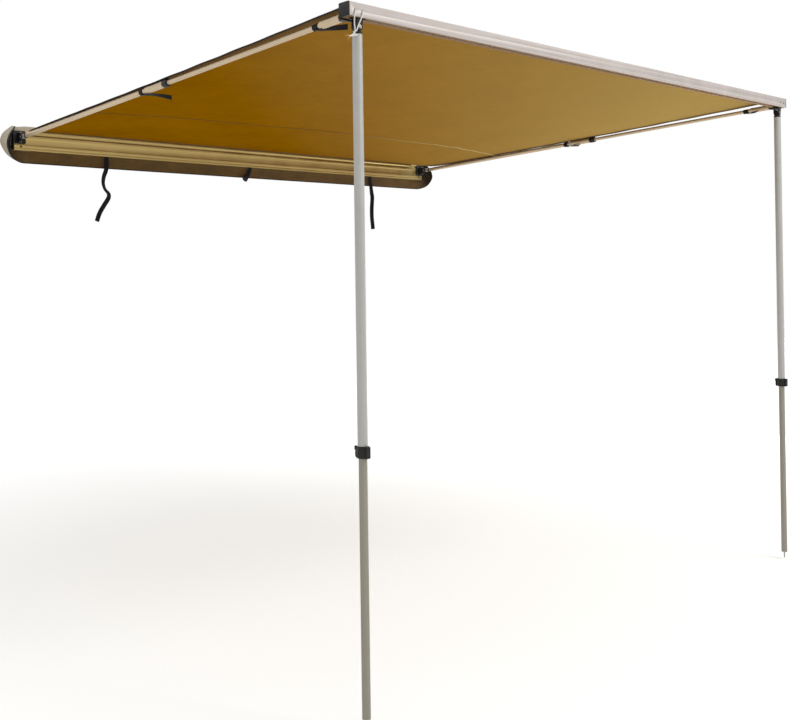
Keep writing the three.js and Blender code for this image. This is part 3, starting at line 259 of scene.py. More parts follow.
# %% Turned, carried and thick surfaces
def eased(profile, cut, closed=False, steps=4):
    """Rounds the corners of a profile: each corner gives way to a short parabola that leaves its two
    sides at the distance cut, or at a third of a side that is shorter."""
    p = np.asarray(profile, float)
    before, after = np.roll(p, 1, 0), np.roll(p, -1, 0)
    reach = []
    for other in (before, after):
        side = other - p
        size = np.linalg.norm(side, axis=1, keepdims=True)
        reach.append(p + side / np.maximum(size, 1e-9) * np.minimum(cut, size / 3))
    t = np.linspace(0, 1, steps + 1)[None, :, None]
    arcs = (1 - t) ** 2 * reach[0][:, None] + 2 * t * (1 - t) * p[:, None] + t**2 * reach[1][:, None]
    if closed:
        return arcs.reshape(-1, 2)
    return np.vstack([p[:1], arcs[1:-1].reshape(-1, 2), p[-1:]])


SIDES = 64


def turned(profile, place, sides=SIDES):
    """A profile of (radius, height) pairs turned about the local Z axis: x and y are the radius times
    the cosine and sine of the angle. place is (origin, x axis, y axis, z axis). The last column lies
    on the first, so that the map round the piece ends there."""
    profile = np.asarray(profile, float)
    angle = np.pi / 2 + np.linspace(0, 2 * np.pi, sides + 1)
    radius, height = profile[:, 0][:, None], profile[:, 1][:, None]
    origin, ax, ay, az = (np.asarray(v, float) for v in place)
    points = (origin + (radius * np.cos(angle))[..., None] * ax
              + (radius * np.sin(angle))[..., None] * ay
              + (height * np.ones_like(angle))[..., None] * az)
    ring = profile[:, 0].max() * (angle - angle[0])
    uv = gathered(ring, height) * MM
    return points.reshape(-1, 3), uv.reshape(-1, 2)


def travelling_axes(path, first):
    """Two axes square to a path that turn as little as they can: each is carried from the last and
    made square to the path again."""
    along = unit(np.gradient(path, axis=0))
    across = np.zeros_like(path)
    last = np.asarray(first, float)
    for k, direction in enumerate(along):
        last = last - direction * (last @ direction)
        last = last / np.linalg.norm(last)
        across[k] = last
    return across, np.cross(along, across)


def closed_along(path, across, rise, section, size=1.0):
    """A section carried along a path: each point is the path's plus the section's two numbers times
    the two axes. size scales the section, at each step or at each step and point, and rows of size 0
    close both ends. Also gives the step that each row lies at."""
    rows = np.concatenate([[0], np.arange(len(path)), [len(path) - 1]])
    size = np.broadcast_to(size, (len(path), len(section)))[rows]
    size[[0, -1]] = 0
    grid = (path[rows][:, None]
            + (size * section[:, 0])[..., None] * across[rows][:, None]
            + (size * section[:, 1])[..., None] * rise[rows][:, None])
    return grid, grid_quads(len(rows), len(section), wrap_columns=True), rows


def thick_sheet(centre, normal, half):
    """A closed sheet from a grid of points: one face lies half a thickness along the normal, the other
    half a thickness against it, and strips close the four edges. Also gives a material number for each
    quad: 1 on the second face and 0 elsewhere."""
    rows, columns = centre.shape[:2]
    half = np.broadcast_to(half, centre.shape[:2])[..., None]
    points = np.concatenate([(centre + normal * half).reshape(-1, 3),
                             (centre - normal * half).reshape(-1, 3)])
    count = rows * columns
    upper = grid_quads(rows, columns)
    lower = upper[:, ::-1] + count
    number = np.arange(count).reshape(rows, columns)
    rim = np.concatenate([number[0, :], number[1:, -1], number[-1, -2::-1], number[-2:0:-1, 0]])
    after = np.roll(rim, -1)
    edge = np.stack([rim, after, after + count, rim + count], 1)
    faces = np.repeat([0, 1, 0], [len(upper), len(lower), len(edge)])
    return points, np.concatenate([upper, lower, edge]), faces


def both_faces(over, down):
    """The map of a thick sheet: the same two lengths, in millimetres, on both faces."""
    return np.tile(gathered(over, down).reshape(-1, 2) * MM, (2, 1))


def grid_normals(grid):
    """Unit normals of a grid of points, square to the steps along its rows and columns."""
    return unit(np.cross(np.gradient(grid, axis=0), np.gradient(grid, axis=1)))


# %% [markdown]
# ## Floor and light
# The awning is shown in a plain studio. The background comes out white because camera rays and
# reflections see a white world, while the light that falls on the object is weaker. One broad lamp
# from above and behind the camera gives soft shadows, and a low one opens up the canopy's underside.

# %% Node helper and colours
FLOOR_LEVEL = -1.88


def linear(code):
    """An sRGB hex colour as linear red, green, blue and alpha: low values are divided by 12.92, and
    higher ones follow the 2.4 power curve."""
    srgb = np.array([int(code[k : k + 2], 16) for k in (1, 3, 5)]) / 255
    lit = np.where(srgb <= 0.04045, srgb / 12.92, ((srgb + 0.055) / 1.055) ** 2.4)
    return (*map(float, lit), 1.0)


def add_node(tree, kind, inputs=None, **settings):
    """Adds a node with its settings. inputs go by name or number: each is a value, a hex colour, an
    output of another node, or a node, which stands for its first output."""
    node = tree.nodes.new(kind)
    for key, value in settings.items():
        setattr(node, key, value)
    for key, value in (inputs or {}).items():
        if isinstance(value, bpy.types.Node):
            value = value.outputs[0]
        if isinstance(value, bpy.types.NodeSocket):
            tree.links.new(value, node.inputs[key])
        else:
            node.inputs[key].default_value = linear(value) if isinstance(value, str) else value
    return node


def highest(tree, *parts):
    """The highest of several shares."""
    top = parts[0]
    for part in parts[1:]:
        top = add_node(tree, "ShaderNodeMath", {0: top, 1: part}, operation="MAXIMUM")
    return top


def empty_tree(owner):
    owner.use_nodes = True
    owner.node_tree.nodes.clear()
    return owner.node_tree


# %% World, floor and lamps
WORLD_LIGHT = 0.75
FLOOR_HALF = 14.0
GLOW_MIDDLE, GLOW_NEAR, GLOW_FAR = (0.0, -1.2, FLOOR_LEVEL), 1.6, 6.0
GLOW_INSIDE, GLOW_OUTSIDE = 0.28, 0.5


def seen_rays(tree):
    """1 for rays from the camera, in reflections and through clear things, and 0 for other light."""
    rays = add_node(tree, "ShaderNodeLightPath").outputs
    return highest(tree, rays["Is Camera Ray"], rays["Is Glossy Ray"], rays["Is Transmission Ray"])


world = bpy.data.worlds.new("studio")
bpy.context.scene.world = world
tree = empty_tree(world)
level = add_node(tree, "ShaderNodeMapRange",
                 {"Value": seen_rays(tree), "To Min": WORLD_LIGHT, "To Max": 1.0})
light = add_node(tree, "ShaderNodeBackground", {"Color": "#FFFFFF", "Strength": level})
add_node(tree, "ShaderNodeOutputWorld", {"Surface": light})

floor_mesh = bpy.data.meshes.new("studio_floor")
floor_mesh.from_pydata([(x * FLOOR_HALF, y * FLOOR_HALF, FLOOR_LEVEL)
                        for x, y in ((-1, -1), (1, -1), (1, 1), (-1, 1))], [], [(0, 1, 2, 3)])
floor = add_object("studio_floor", floor_mesh)
paper = bpy.data.materials.new("studio_paper")
tree = empty_tree(paper)
# Light meets plain paper. Rays that are seen get a glow on top, so the paper comes out white and only
# the object's shadow shows on it.
matt = add_node(tree, "ShaderNodeBsdfDiffuse", {"Color": "#EDEDEB"})
source = add_node(tree, "ShaderNodeTexCoord").outputs["Object"]
away = add_node(tree, "ShaderNodeVectorMath", {0: source, 1: GLOW_MIDDLE}, operation="DISTANCE")
away = add_node(tree, "ShaderNodeMapRange",
                {"Value": away.outputs["Value"], "From Min": GLOW_NEAR, "From Max": GLOW_FAR,
                 "To Min": GLOW_INSIDE, "To Max": GLOW_OUTSIDE})
glow = add_node(tree, "ShaderNodeEmission", {"Color": "#FFFFFF", "Strength": away})
bright = add_node(tree, "ShaderNodeAddShader", {0: matt, 1: glow})
shown = add_node(tree, "ShaderNodeMixShader", {0: seen_rays(tree), 1: matt, 2: bright})
add_node(tree, "ShaderNodeOutputMaterial", {"Surface": shown})
floor_mesh.materials.append(paper)


def add_lamp(name, place, aim, size, watts):
    """A square area lamp that points from its place to the aim."""
    lamp = bpy.data.lights.new(name, "AREA")
    lamp.size, lamp.energy = size, watts
    back = unit(np.array(place, float) - np.array(aim, float))
    side = unit(np.cross((0.0, 0.0, 1.0), back))
    add_object(name, lamp, (side, np.cross(back, side), back), place)


add_lamp("key_softbox", (2.6, -6.4, 4.4), (0, -1.1, -0.4), 3.4, 210)
add_lamp("low_fill", (4.5, -1.7, -1.3), (0.6, -1.4, 0.0), 2.0, 40)
print("floor at", FLOOR_LEVEL, "m,", len(bpy.data.lights), "lamps")

# %% [markdown]
# ## The white cord
# A thin braided cord is threaded through the two holes of the front rail, and its loose ends are
# knotted under it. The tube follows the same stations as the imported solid. Its strands are pressed
# into the tube's surface as a criss-cross of two families of spirals, and its cut ends are frayed.

# %% Where the cord runs
RAIL_END = 1250.0
FRONT_FACE, FRONT_UNDERSIDE = 2336.0, 93.0
CORD_RADIUS = 1.8
# Distance in from the rail's end, out from its front face and up from its underside.
CORD_STATIONS = [
    (-13, 9, -67), (-3, 8.5, -58), (9, 6.5, -50), (14, 5, -45), (14.5, 4.5, -38), (13, 4, -22),
    (14, 3.6, -4), (17, 3.6, 9), (18.6, 1.5, 16.5), (20, -4.5, 18.5), (26, -7.5, 19), (38, -7.5, 19),
    (43.5, -4.5, 18.5), (45, 1.5, 16.5), (43.5, 4, 8), (37, 4.2, -6), (28, 5, -22), (20, 7, -36),
    (15.5, 9.2, -42), (10.5, 7.5, -43.5), (9.8, 3.4, -45.5), (13.5, 1.4, -48), (18, 3, -50),
    (18.5, 7.5, -52), (13, 10.5, -55), (3, 11, -57.5), (-9, 11.5, -60), (-21, 12, -61),
]
cord_stations = np.array([(-RAIL_END + a, -FRONT_FACE - b, FRONT_UNDERSIDE + c)
                          for a, b, c in CORD_STATIONS])
cord_path = even_points(cord_stations, 420)
print("cord:", round(path_length(cord_path)), "mm long")


# %% Cord material and tube
def new_material(name, roughness, metallic=0.0, gloss=0.5, **sockets):
    """A material with one Principled shader. Constants are set on the shader's own sockets. gloss is
    the strength of a clear surface's mirror light, where 0.5 is the physical one."""
    material = bpy.data.materials.new(name)
    tree = empty_tree(material)
    shader = add_node(tree, "ShaderNodeBsdfPrincipled",
                      {"Roughness": roughness, "Metallic": metallic, "Specular IOR Level": gloss,
                       **sockets})
    add_node(tree, "ShaderNodeOutputMaterial", {"Surface": shader})
    return material, tree, shader


def painted(tree, base, *coats):
    """A base colour under coats: each coat is a share from 0 to 1 and the colour it turns to."""
    for share, colour in coats:
        base = add_node(tree, "ShaderNodeMix", {0: share, 6: base, 7: colour},
                        data_type="RGBA").outputs[2]
    return base


def colour_and_bump(tree, shader, colour, height=None, depth=0.0):
    """Feeds a colour to the shader, and a height to its normal: depth is in millimetres."""
    tree.links.new(colour, shader.inputs["Base Color"])
    if height is not None:
        bump = add_node(tree, "ShaderNodeBump", {"Height": height, "Distance": depth * MM})
        tree.links.new(bump.outputs[0], shader.inputs["Normal"])


def speckled(name, roughness, metallic, noise, dark, light, depth=0.0):
    """A material of two tones in fine cloudy specks, which are also raised by the depth, if any."""
    material, tree, shader = new_material(name, roughness, metallic)
    source = add_node(tree, "ShaderNodeTexCoord").outputs["Object"]
    cloud = add_node(tree, "ShaderNodeTexNoise", {"Vector": source, **noise})
    colour_and_bump(tree, shader, painted(tree, dark, (cloud, light)),
                    cloud.outputs[0] if depth else None, depth)
    return material


# Braided polyester cord: dull white with a soft sheen, and painted shade: a little grey between the
# strands.
braided_cord, tree, shader = new_material("braided_polyester_cord", 0.82,
                                          **{"Sheen Weight": 0.25, "Sheen Roughness": 0.5})
strand = add_node(tree, "ShaderNodeAttribute", attribute_name="strand").outputs["Fac"]
colour_and_bump(tree, shader, painted(tree, "#B9B4A8", (strand, "#F1EDE4")))

# The same cord's cut ends, melted and dirty orange.
frayed_end = speckled("frayed_cord_end", 0.7, 0.0, {"Scale": 900.0, "Detail": 2.0}, "#A05C1E",
                      "#DDA35A")

FRAYED = 7.0
CORD_SIDES = 24
STRANDS = 8
BRAID_PITCH = 9.0
STRAND_RELIEF = 0.16


def closed_tube(path, radius, sides, first=(0, 0, 1)):
    """A round tube along a path. The radius is one number, or one for each step, or for each step and
    side. first is the way the first side faces, about."""
    angle = np.linspace(0, 2 * np.pi, sides, endpoint=False)
    section = np.stack([np.cos(angle), np.sin(angle)], 1)
    return closed_along(path, *travelling_axes(path, first), section, radius)


along = lengths_along(cord_path)
angle = np.linspace(0, 2 * np.pi, CORD_SIDES, endpoint=False)
# Two families of spirals run opposite ways; the higher one of the two shows at each point.
turn = 2 * np.pi * along[:, None] / BRAID_PITCH
right_hand = np.cos(STRANDS / 2 * angle + turn * STRANDS / 4)
left_hand = np.cos(STRANDS / 2 * angle - turn * STRANDS / 4)
braid = np.maximum(right_hand, left_hand)
grid, quads, rows = closed_tube(cord_path, CORD_RADIUS - STRAND_RELIEF + STRAND_RELIEF * braid,
                                CORD_SIDES)
from_end = np.minimum(along, along[-1] - along)[rows]
guy_cord = make_piece("guy_cord_braid", grid, quads, "front_rail", "white_cord",
                      [braided_cord, frayed_end], values={"strand": 0.5 + 0.5 * braid[rows]},
                      faces=from_end[quads[:, 0] // CORD_SIDES] < FRAYED, replaces=["guy_cord"])

# %% The cord's frayed ends
FIBRES, FIBRE_RADIUS, FIBRE_SIDES = 14, 0.28, 6
FIBRE_ROOT, FIBRE_SPREAD, FIBRE_DROOP = 1.5, 0.9, 1.2


def frayed_tuft(tip, direction, first, seed):
    """Thin fibres that leave the cut end and curl outward and down: each is a short bent tube, whose
    curl grows as the square of the way along it."""
    chance = np.random.default_rng(seed)
    side, rise = travelling_axes(np.array([tip - direction, tip, tip + direction]), first)
    t = np.linspace(0, 1, 7)[:, None]
    fibres = []
    for _ in range(FIBRES):
        turn, lean, length = (chance.uniform(*ends) for ends in ((0, 2 * np.pi), (0.15, 0.75), (4, 8)))
        out = side[1] * math.cos(turn) + rise[1] * math.sin(turn)
        path = (tip - direction * FIBRE_ROOT + out * FIBRE_SPREAD + direction * length * t
                + out * length * lean * t**2 - np.array([0, 0, 1.0]) * t**2 * FIBRE_DROOP)
        fibres.append(closed_tube(path, FIBRE_RADIUS, FIBRE_SIDES, out)[:2])
    return joined(*fibres)


tufts = [frayed_tuft(cord_path[end], unit(cord_path[end] - cord_path[inner]), (0.3, 0.2, 1), seed)
         for end, inner, seed in ((0, 3, 5), (-1, -4, 9))]
cord_tufts = make_piece("guy_cord_frayed_ends", *joined(*tufts), "front_rail", "white_cord",
                        [frayed_end])
# Its first tail leaves the knot here.
print("frayed ends:", len(tufts), "of", FIBRES, "fibres")

# %% [markdown]
# ## The canopy
# The canopy is one sheet of coated polyester-cotton. A bead at each end sits in a groove of the rail,
# and the sheet is pulled nearly straight between them. It sags a little in the middle, and its hemmed
# sides rest on the arms. Simulated cloth would need hours to become this taut, so the sheet is a
# formula: a straight line from rail to rail, less a sag that changes across the width.

# %% The canopy's surface
REAR_BEAD = np.array([-31.0, 43.5])
FRONT_BEAD = np.array([-2298.0, 126.0])
SHEET_START, SHEET_END = np.array([-45.0, 47.5]), np.array([-2289.0, 126.0])
SHEET_HALF_THICKNESS = 0.6
SHEET_SIDE, REAR_NARROWING, WIDENING = 1240.0, 75.0, 0.03
ARM_PIN = np.array([-84.0, 10.0])
ARM_RISE = 91 / 2200
REST_HEIGHT, SETTLING, LIFTING, HUGGING = 13.0, 0.025, 3.5, 6
MIDDLE_SAG, WAVE_HEIGHT, WAVES_ALONG, WAVES_ACROSS = 22.0, 2.4, 2.5, 1.5


def canopy_half_width(s):
    """Half the sheet's width at the share s of its length: narrower at the back rail by an amount
    that dies away as exp(-s / widening)."""
    return SHEET_SIDE - REAR_NARROWING * np.exp(-s / WIDENING)


def canopy_drop(a, s, y, z):
    """How far the sheet hangs under the straight line. The middle follows 4 s (1 - s) times the sag.
    The sides drop to the rest height above the arm, and a high power of |a| joins the two."""
    arm = ARM_PIN[1] + (ARM_PIN[0] - y) * ARM_RISE
    side = np.maximum(0, (z - arm - REST_HEIGHT) * (1 - np.exp(-s / SETTLING) - s**LIFTING))
    wave = np.sin(2 * np.pi * (WAVES_ALONG * s + WAVES_ACROSS * a))
    middle = 4 * s * (1 - s) * (MIDDLE_SAG + WAVE_HEIGHT * (1 - a**2) * wave)
    return middle + (side - middle) * np.abs(a) ** HUGGING


# A fan of creases near the rear right corner: how many to half a turn, how crisp, and the reach and
# the angle that it is centred on, each with its spread.
FAN_CREASES, FAN_CRISPNESS = 19, 0.7
FAN_REACH, FAN_DEPTH, FAN_ANGLE, FAN_SPREAD = 820, 330, 0.48, 0.34
# Puckers along the back rail, and long pulls towards the front corners.
PUCKER_PITCH, PUCKER_SWAY, PUCKER_DRIFT = 83, 1.3, 190
PUCKER_END, PUCKER_START = 0.045, 0.006
PULL_PITCH, PULL_SLANT = 210, 0.62
FAN_HEIGHT, PUCKER_HEIGHT, PULL_HEIGHT = 4.2, 1.4, 1.1


def canopy_wrinkles(a, s):
    """Small tension folds, in millimetres. The creases are 1 - |sin| to a power below 1, times two
    bell curves; the puckers are a sine that dies away from the rail; the pulls are a slanting sine
    that grows as the cube of |a|."""
    x, y = a * SHEET_SIDE, SHEET_START[0] + (SHEET_END - SHEET_START)[0] * s
    angle, reach = np.arctan2(SHEET_SIDE - x, -y), np.hypot(SHEET_SIDE - x, y)
    fan = ((1 - np.abs(np.sin(angle * FAN_CREASES)) ** FAN_CRISPNESS)
           * np.exp(-((reach - FAN_REACH) / FAN_DEPTH) ** 2)
           * np.exp(-((angle - FAN_ANGLE) / FAN_SPREAD) ** 2))
    pucker = (np.sin(x * 2 * np.pi / PUCKER_PITCH + PUCKER_SWAY * np.sin(x / PUCKER_DRIFT))
              * np.exp(-s / PUCKER_END) * (1 - np.exp(-s / PUCKER_START)))
    slanting = np.sin((y + PULL_SLANT * np.abs(x)) * 2 * np.pi / PULL_PITCH)
    pull = slanting * np.abs(a) ** 3 * s**2 * (1 - s) * 4
    return FAN_HEIGHT * fan + PUCKER_HEIGHT * pucker + PULL_HEIGHT * pull


def canopy_surface(a, s):
    """Points of the sheet's middle surface for shares a across, from -1 to 1, and s along."""
    line = SHEET_START + (SHEET_END - SHEET_START) * np.asarray(s, float)[..., None]
    y, z = line[..., 0], line[..., 1]
    drop = canopy_drop(a, s, y, z) - canopy_wrinkles(a, s)
    return gathered(a * canopy_half_width(s), y, z - drop)


# %% Rows and columns of the canopy
BEAD_RADIUS, BEAD_STEP = 2.7, 2.4
BEAD_ROWS = [(-1, 0.25), (-0.5, 0.85), (0, 1), (0.5, 0.85), (1, 0.25)]
# From the groove's mouth to the middle of the bead.
NECK = 2 + 3.4 * 0.9
# From the rear bead to the rail's lip, where the sheet turns to lie flat.
LIP = (-2.2, 2.9)
HEM_COLUMNS = np.array([0, 4, 8, 14, 22, 32, 42]) / SHEET_SIDE
across = np.concatenate([-1 + HEM_COLUMNS, np.linspace(-0.955, 0.955, 171), 1 - HEM_COLUMNS[::-1]])
spans = np.concatenate([np.linspace(0, 0.06, 13)[:-1], np.linspace(0.06, 0.985, 165)[:-1],
                        np.linspace(0.985, 1, 6)])
# Each row has its place (y, z), its half thickness, its share along the sheet and the way it faces.
rows = [(REAR_BEAD + (0, -NECK + step * BEAD_STEP), thick * BEAD_RADIUS, 0, (1, 0))
        for step, thick in BEAD_ROWS]
rows += [(REAR_BEAD, SHEET_HALF_THICKNESS, 0, (1, 0)),
         (REAR_BEAD + LIP, SHEET_HALF_THICKNESS, 0, (0.707, 0.707))]
rows += [(SHEET_START + (SHEET_END - SHEET_START) * s, SHEET_HALF_THICKNESS, s, (0, 1)) for s in spans]
rows += [(FRONT_BEAD, SHEET_HALF_THICKNESS, 1, (0, 1))]
rows += [(FRONT_BEAD + (-NECK - step * BEAD_STEP, 0), thick * BEAD_RADIUS, 1, (0, 1))
         for step, thick in BEAD_ROWS]
line, half, share, facing = (np.array(part, float) for part in zip(*rows))
half, share = half[:, None], share[:, None]
centre = np.empty((len(rows), len(across), 3))
centre[..., 0] = across * canopy_half_width(share)
centre[..., 1] = line[:, :1]
drop = canopy_drop(across, share, line[:, :1], line[:, 1:]) - canopy_wrinkles(across, share)
drop[(share[:, 0] <= 0) | (share[:, 0] >= 1)] = 0
centre[..., 2] = line[:, 1:] - drop
normal = np.zeros_like(centre)
normal[..., 1:] = facing[:, None]
points, quads, faces = thick_sheet(centre, normal, half)
length = lengths_along(line)
print("canopy:", len(quads), "quads,", round(length[-1]), "mm from bead to bead")

# %% [markdown]
# The cloth is a plain weave with thicker rip-stop threads, coated on the outside. Light comes through
# it, so the underside looks golden, and browner where the hem doubles it. Both colours are set on the
# two faces of the sheet. The hem, its stitches and the corner patches follow distances that the mesh
# carries.

# %% Cloth material
RIPSTOP, THREAD = 9.0, 2.6
HEM_WIDTH, END_HEM_WIDTH, PATCH_WIDTH = 40.0, 30.0, 105.0
STITCH_PITCH, STITCH_THREAD, STITCHES_IN, EDGE_STITCHES = 3.4, 0.9, 3.0, 12.0


def woven(tree, coordinates, periods, most=1.0, wave="SINE"):
    """The height of a weave: two waves multiplied, one across and one along, with their periods in
    millimetres. Threads are drawn coarser than the real half millimetre, so that they show. Also gives
    the height as a share, from 0 to the most, for colours."""
    split = add_node(tree, "ShaderNodeSeparateXYZ", {0: coordinates}).outputs
    waves = []
    for axis, period in enumerate(periods):
        turns = add_node(tree, "ShaderNodeMath", {0: split[axis], 1: 2 * math.pi / (period * MM)},
                         operation="MULTIPLY")
        waves.append(add_node(tree, "ShaderNodeMath", {0: turns}, operation=wave))
    height = add_node(tree, "ShaderNodeMath", {0: waves[0], 1: waves[1]}, operation="MULTIPLY")
    share = add_node(tree, "ShaderNodeMapRange",
                     {"Value": height, "From Min": -1.0, "From Max": 1.0, "To Max": most})
    return height, share


def ripstop_threads(tree, coordinates):
    """1 on the thicker threads, which lie at every rip-stop distance both ways, and 0 half a thread
    beside them."""
    split = add_node(tree, "ShaderNodeSeparateXYZ", {0: coordinates}).outputs
    lines = []
    for axis in (0, 1):
        beside = add_node(tree, "ShaderNodeMath", {0: split[axis], 1: RIPSTOP * MM / 2},
                          operation="PINGPONG")
        lines.append(add_node(tree, "ShaderNodeMapRange", {
            "Value": beside, "From Min": THREAD * 0.45 * MM, "From Max": 0.0}))
    return highest(tree, *lines)


def stitch_row(tree, distance, along, place):
    """1 on the stitches of a row at a place, in millimetres from an edge, and 0 elsewhere. Each stitch
    fills two thirds of the pitch."""
    row = add_node(tree, "ShaderNodeMath", {0: distance, 1: place * MM, 2: STITCH_THREAD * MM / 2},
                   operation="COMPARE")
    step = add_node(tree, "ShaderNodeMath", {0: along, 1: STITCH_PITCH * MM},
                    operation="FLOORED_MODULO")
    dash = add_node(tree, "ShaderNodeMath", {0: step, 1: STITCH_PITCH * MM * 0.67},
                    operation="LESS_THAN")
    return add_node(tree, "ShaderNodeMath", {0: row, 1: dash}, operation="MULTIPLY")


def cloth_material(name, light, dark, lit_tone, hem, stitch, roughness, gloss):
    """Coated canvas: two mottled tones, a hem tone, stitches beside the hem's fold, and a painted light
    tone towards the front right corner.
    """
    material, tree, shader = new_material(name, roughness, gloss=gloss)
    uv = add_node(tree, "ShaderNodeUVMap", uv_map="surface")
    across, along = add_node(tree, "ShaderNodeSeparateXYZ", {0: uv}).outputs[:2]
    side, end, corner = (add_node(tree, "ShaderNodeAttribute", attribute_name=key).outputs["Fac"]
                         for key in ("from_side", "from_end", "from_corner"))
    weave, crossing = woven(tree, uv, (THREAD, THREAD), 0.16)
    ribs = ripstop_threads(tree, uv)
    # Slubs: uneven yarns a few centimetres long, and wide faint clouds where the coating varies.
    slub = add_node(tree, "ShaderNodeMapping", {"Vector": uv, "Scale": (14.0, 130.0, 1.0)})
    slub = add_node(tree, "ShaderNodeTexNoise", {"Vector": slub, "Scale": 1.0, "Detail": 3.0})
    cloud = add_node(tree, "ShaderNodeTexNoise",
                     {"Vector": uv, "Scale": 3.2, "Detail": 4.0, "Roughness": 0.6})
    tone = add_node(tree, "ShaderNodeMix", {0: 0.45, 2: slub, 3: cloud})
    tone = add_node(tree, "ShaderNodeMapRange", {"Value": tone, "From Min": 0.32, "From Max": 0.68})
    # Painted light: the cloth is painted a little paler towards its front right corner.
    painted_light_share = add_node(tree, "ShaderNodeMath", {0: across, 1: along}, operation="ADD")
    painted_light_share = add_node(tree, "ShaderNodeMapRange",
                     {"Value": painted_light_share, "From Min": 0.3, "From Max": 2.9, "To Max": 0.82})
    rib_share = add_node(tree, "ShaderNodeMath", {0: ribs, 1: 0.28}, operation="MULTIPLY")
    doubled = highest(tree, *(
        add_node(tree, "ShaderNodeMath", {0: distance, 1: width * MM}, operation="LESS_THAN")
        for distance, width in ((side, HEM_WIDTH), (end, END_HEM_WIDTH), (corner, PATCH_WIDTH))))
    hem_share = add_node(tree, "ShaderNodeMath", {0: doubled, 1: 0.85}, operation="MULTIPLY")
    stitches = highest(tree, *(stitch_row(tree, distance, way, place) for distance, way, place in (
        (side, along, HEM_WIDTH - STITCHES_IN), (side, along, EDGE_STITCHES),
        (end, across, END_HEM_WIDTH - STITCHES_IN), (corner, across, PATCH_WIDTH - STITCHES_IN))))
    base = painted(tree, dark, (tone, light), (painted_light_share, lit_tone), (crossing, dark), (rib_share, dark),
                   (hem_share, hem), (stitches, stitch))
    relief = ribs
    for part, weight in ((weave, 0.35), (doubled, 1.5), (stitches, -2.0)):
        relief = add_node(tree, "ShaderNodeMath", {0: part, 1: weight, 2: relief},
                          operation="MULTIPLY_ADD")
    colour_and_bump(tree, shader, base, relief, 0.22)
    return material


canopy_underside = cloth_material("rip_stop_canvas_lit_from_above", "#A36F00", "#865700", "#C6AA68",
                                  "#7A6040", "#553C1C", 0.85, 0.0)
canopy_top = cloth_material("rip_stop_canvas_coated_face", "#B7A684", "#A39372", "#C0B294", "#AA9A7A",
                            "#8A7A5C", 0.7, 0.35)

# %% Build the canopy
x, y = centre[..., 0], centre[..., 1]
from_side = canopy_half_width(share) - np.abs(x)
from_front = y - FRONT_BEAD[0]
near = {"from_side": from_side, "from_end": np.minimum(REAR_BEAD[0] - y, from_front),
        "from_corner": from_side + from_front}
near = {key: np.tile(number.ravel() * MM, 2) for key, number in near.items()}
canopy = make_piece("canopy_cloth", points, quads, "canopy_sheet", "canopy_cloth",
                    [canopy_underside, canopy_top], uv=both_faces(x, length[:, None]), values=near,
                    faces=1 - faces, replaces=["canopy"])
print("canopy flat size:", 2 * SHEET_SIDE, "by", round(length[-1]), "mm")

# %% [markdown]
# The raw sides are bound with black tape, and a felled seam joins two widths of cloth. Both are thin
# sections carried along the sheet's own curve, so they touch it everywhere.

# %% Edge binding and seam
BINDING_WIDTH, BINDING_THICKNESS = 9.0, 2.6
SEAM_SIDE, SEAM_BOW = -640.0, -130.0
SEAM_WIDTH, SEAM_THICKNESS = 13.0, 1.0


def tape_material(name, roughness, gloss, periods, dark, light, depth, wave="SINE"):
    """Woven tape: one weave drives both its two tones and its relief."""
    material, tree, shader = new_material(name, roughness, gloss=gloss)
    uv = add_node(tree, "ShaderNodeUVMap", uv_map="surface")
    weave, share = woven(tree, uv, periods, wave=wave)
    colour_and_bump(tree, shader, painted(tree, dark, (share, light)), weave, depth)
    return material


def strip_shape(path, across, width, thickness, steps=24):
    """A flat strip carried along a path, with closed ends. Its section is the superellipse of power 4,
    and across points over its width."""
    along = unit(np.gradient(path, axis=0))
    across = unit(across - along * np.sum(across * along, 1, keepdims=True))
    angle = np.linspace(0, 2 * np.pi, steps, endpoint=False)
    c, s = np.cos(angle), np.sin(angle)
    section = np.stack([np.sign(c) * np.abs(c) ** 0.5 * width / 2,
                        np.sign(s) * np.abs(s) ** 0.5 * thickness / 2], 1)
    grid, quads, rows = closed_along(path, across, np.cross(along, across), section)
    distance = lengths_along(path)[rows]
    uv = gathered(section[:, 0], distance[:, None]) * MM
    return grid.reshape(-1, 3), quads, uv.reshape(-1, 2)


def canopy_strip(name, path, across, width, thickness, material, slot):
    points, quads, uv = strip_shape(path, across, width, thickness)
    return make_piece(name, points, quads, "canopy_sheet", slot, [material], uv=uv)


binding_tape = tape_material("black_binding_tape", 0.8, 0.2, (1.2, 1.2), "#1A1610", "#2C251B", 0.15)
canopy_trim = []
spans = np.linspace(0, 1, 240) ** 1.15
for side, word in ((-1, "left"), (1, "right")):
    edge = canopy_surface(np.full_like(spans, side), spans)
    edge[:, 0] -= side * (BINDING_WIDTH / 2 - 1)
    out = np.tile([float(side), 0, 0], (len(edge), 1))
    canopy_trim.append(canopy_strip(f"canopy_binding_{word}", edge, out, BINDING_WIDTH,
                                    BINDING_THICKNESS, binding_tape, "black_webbing"))
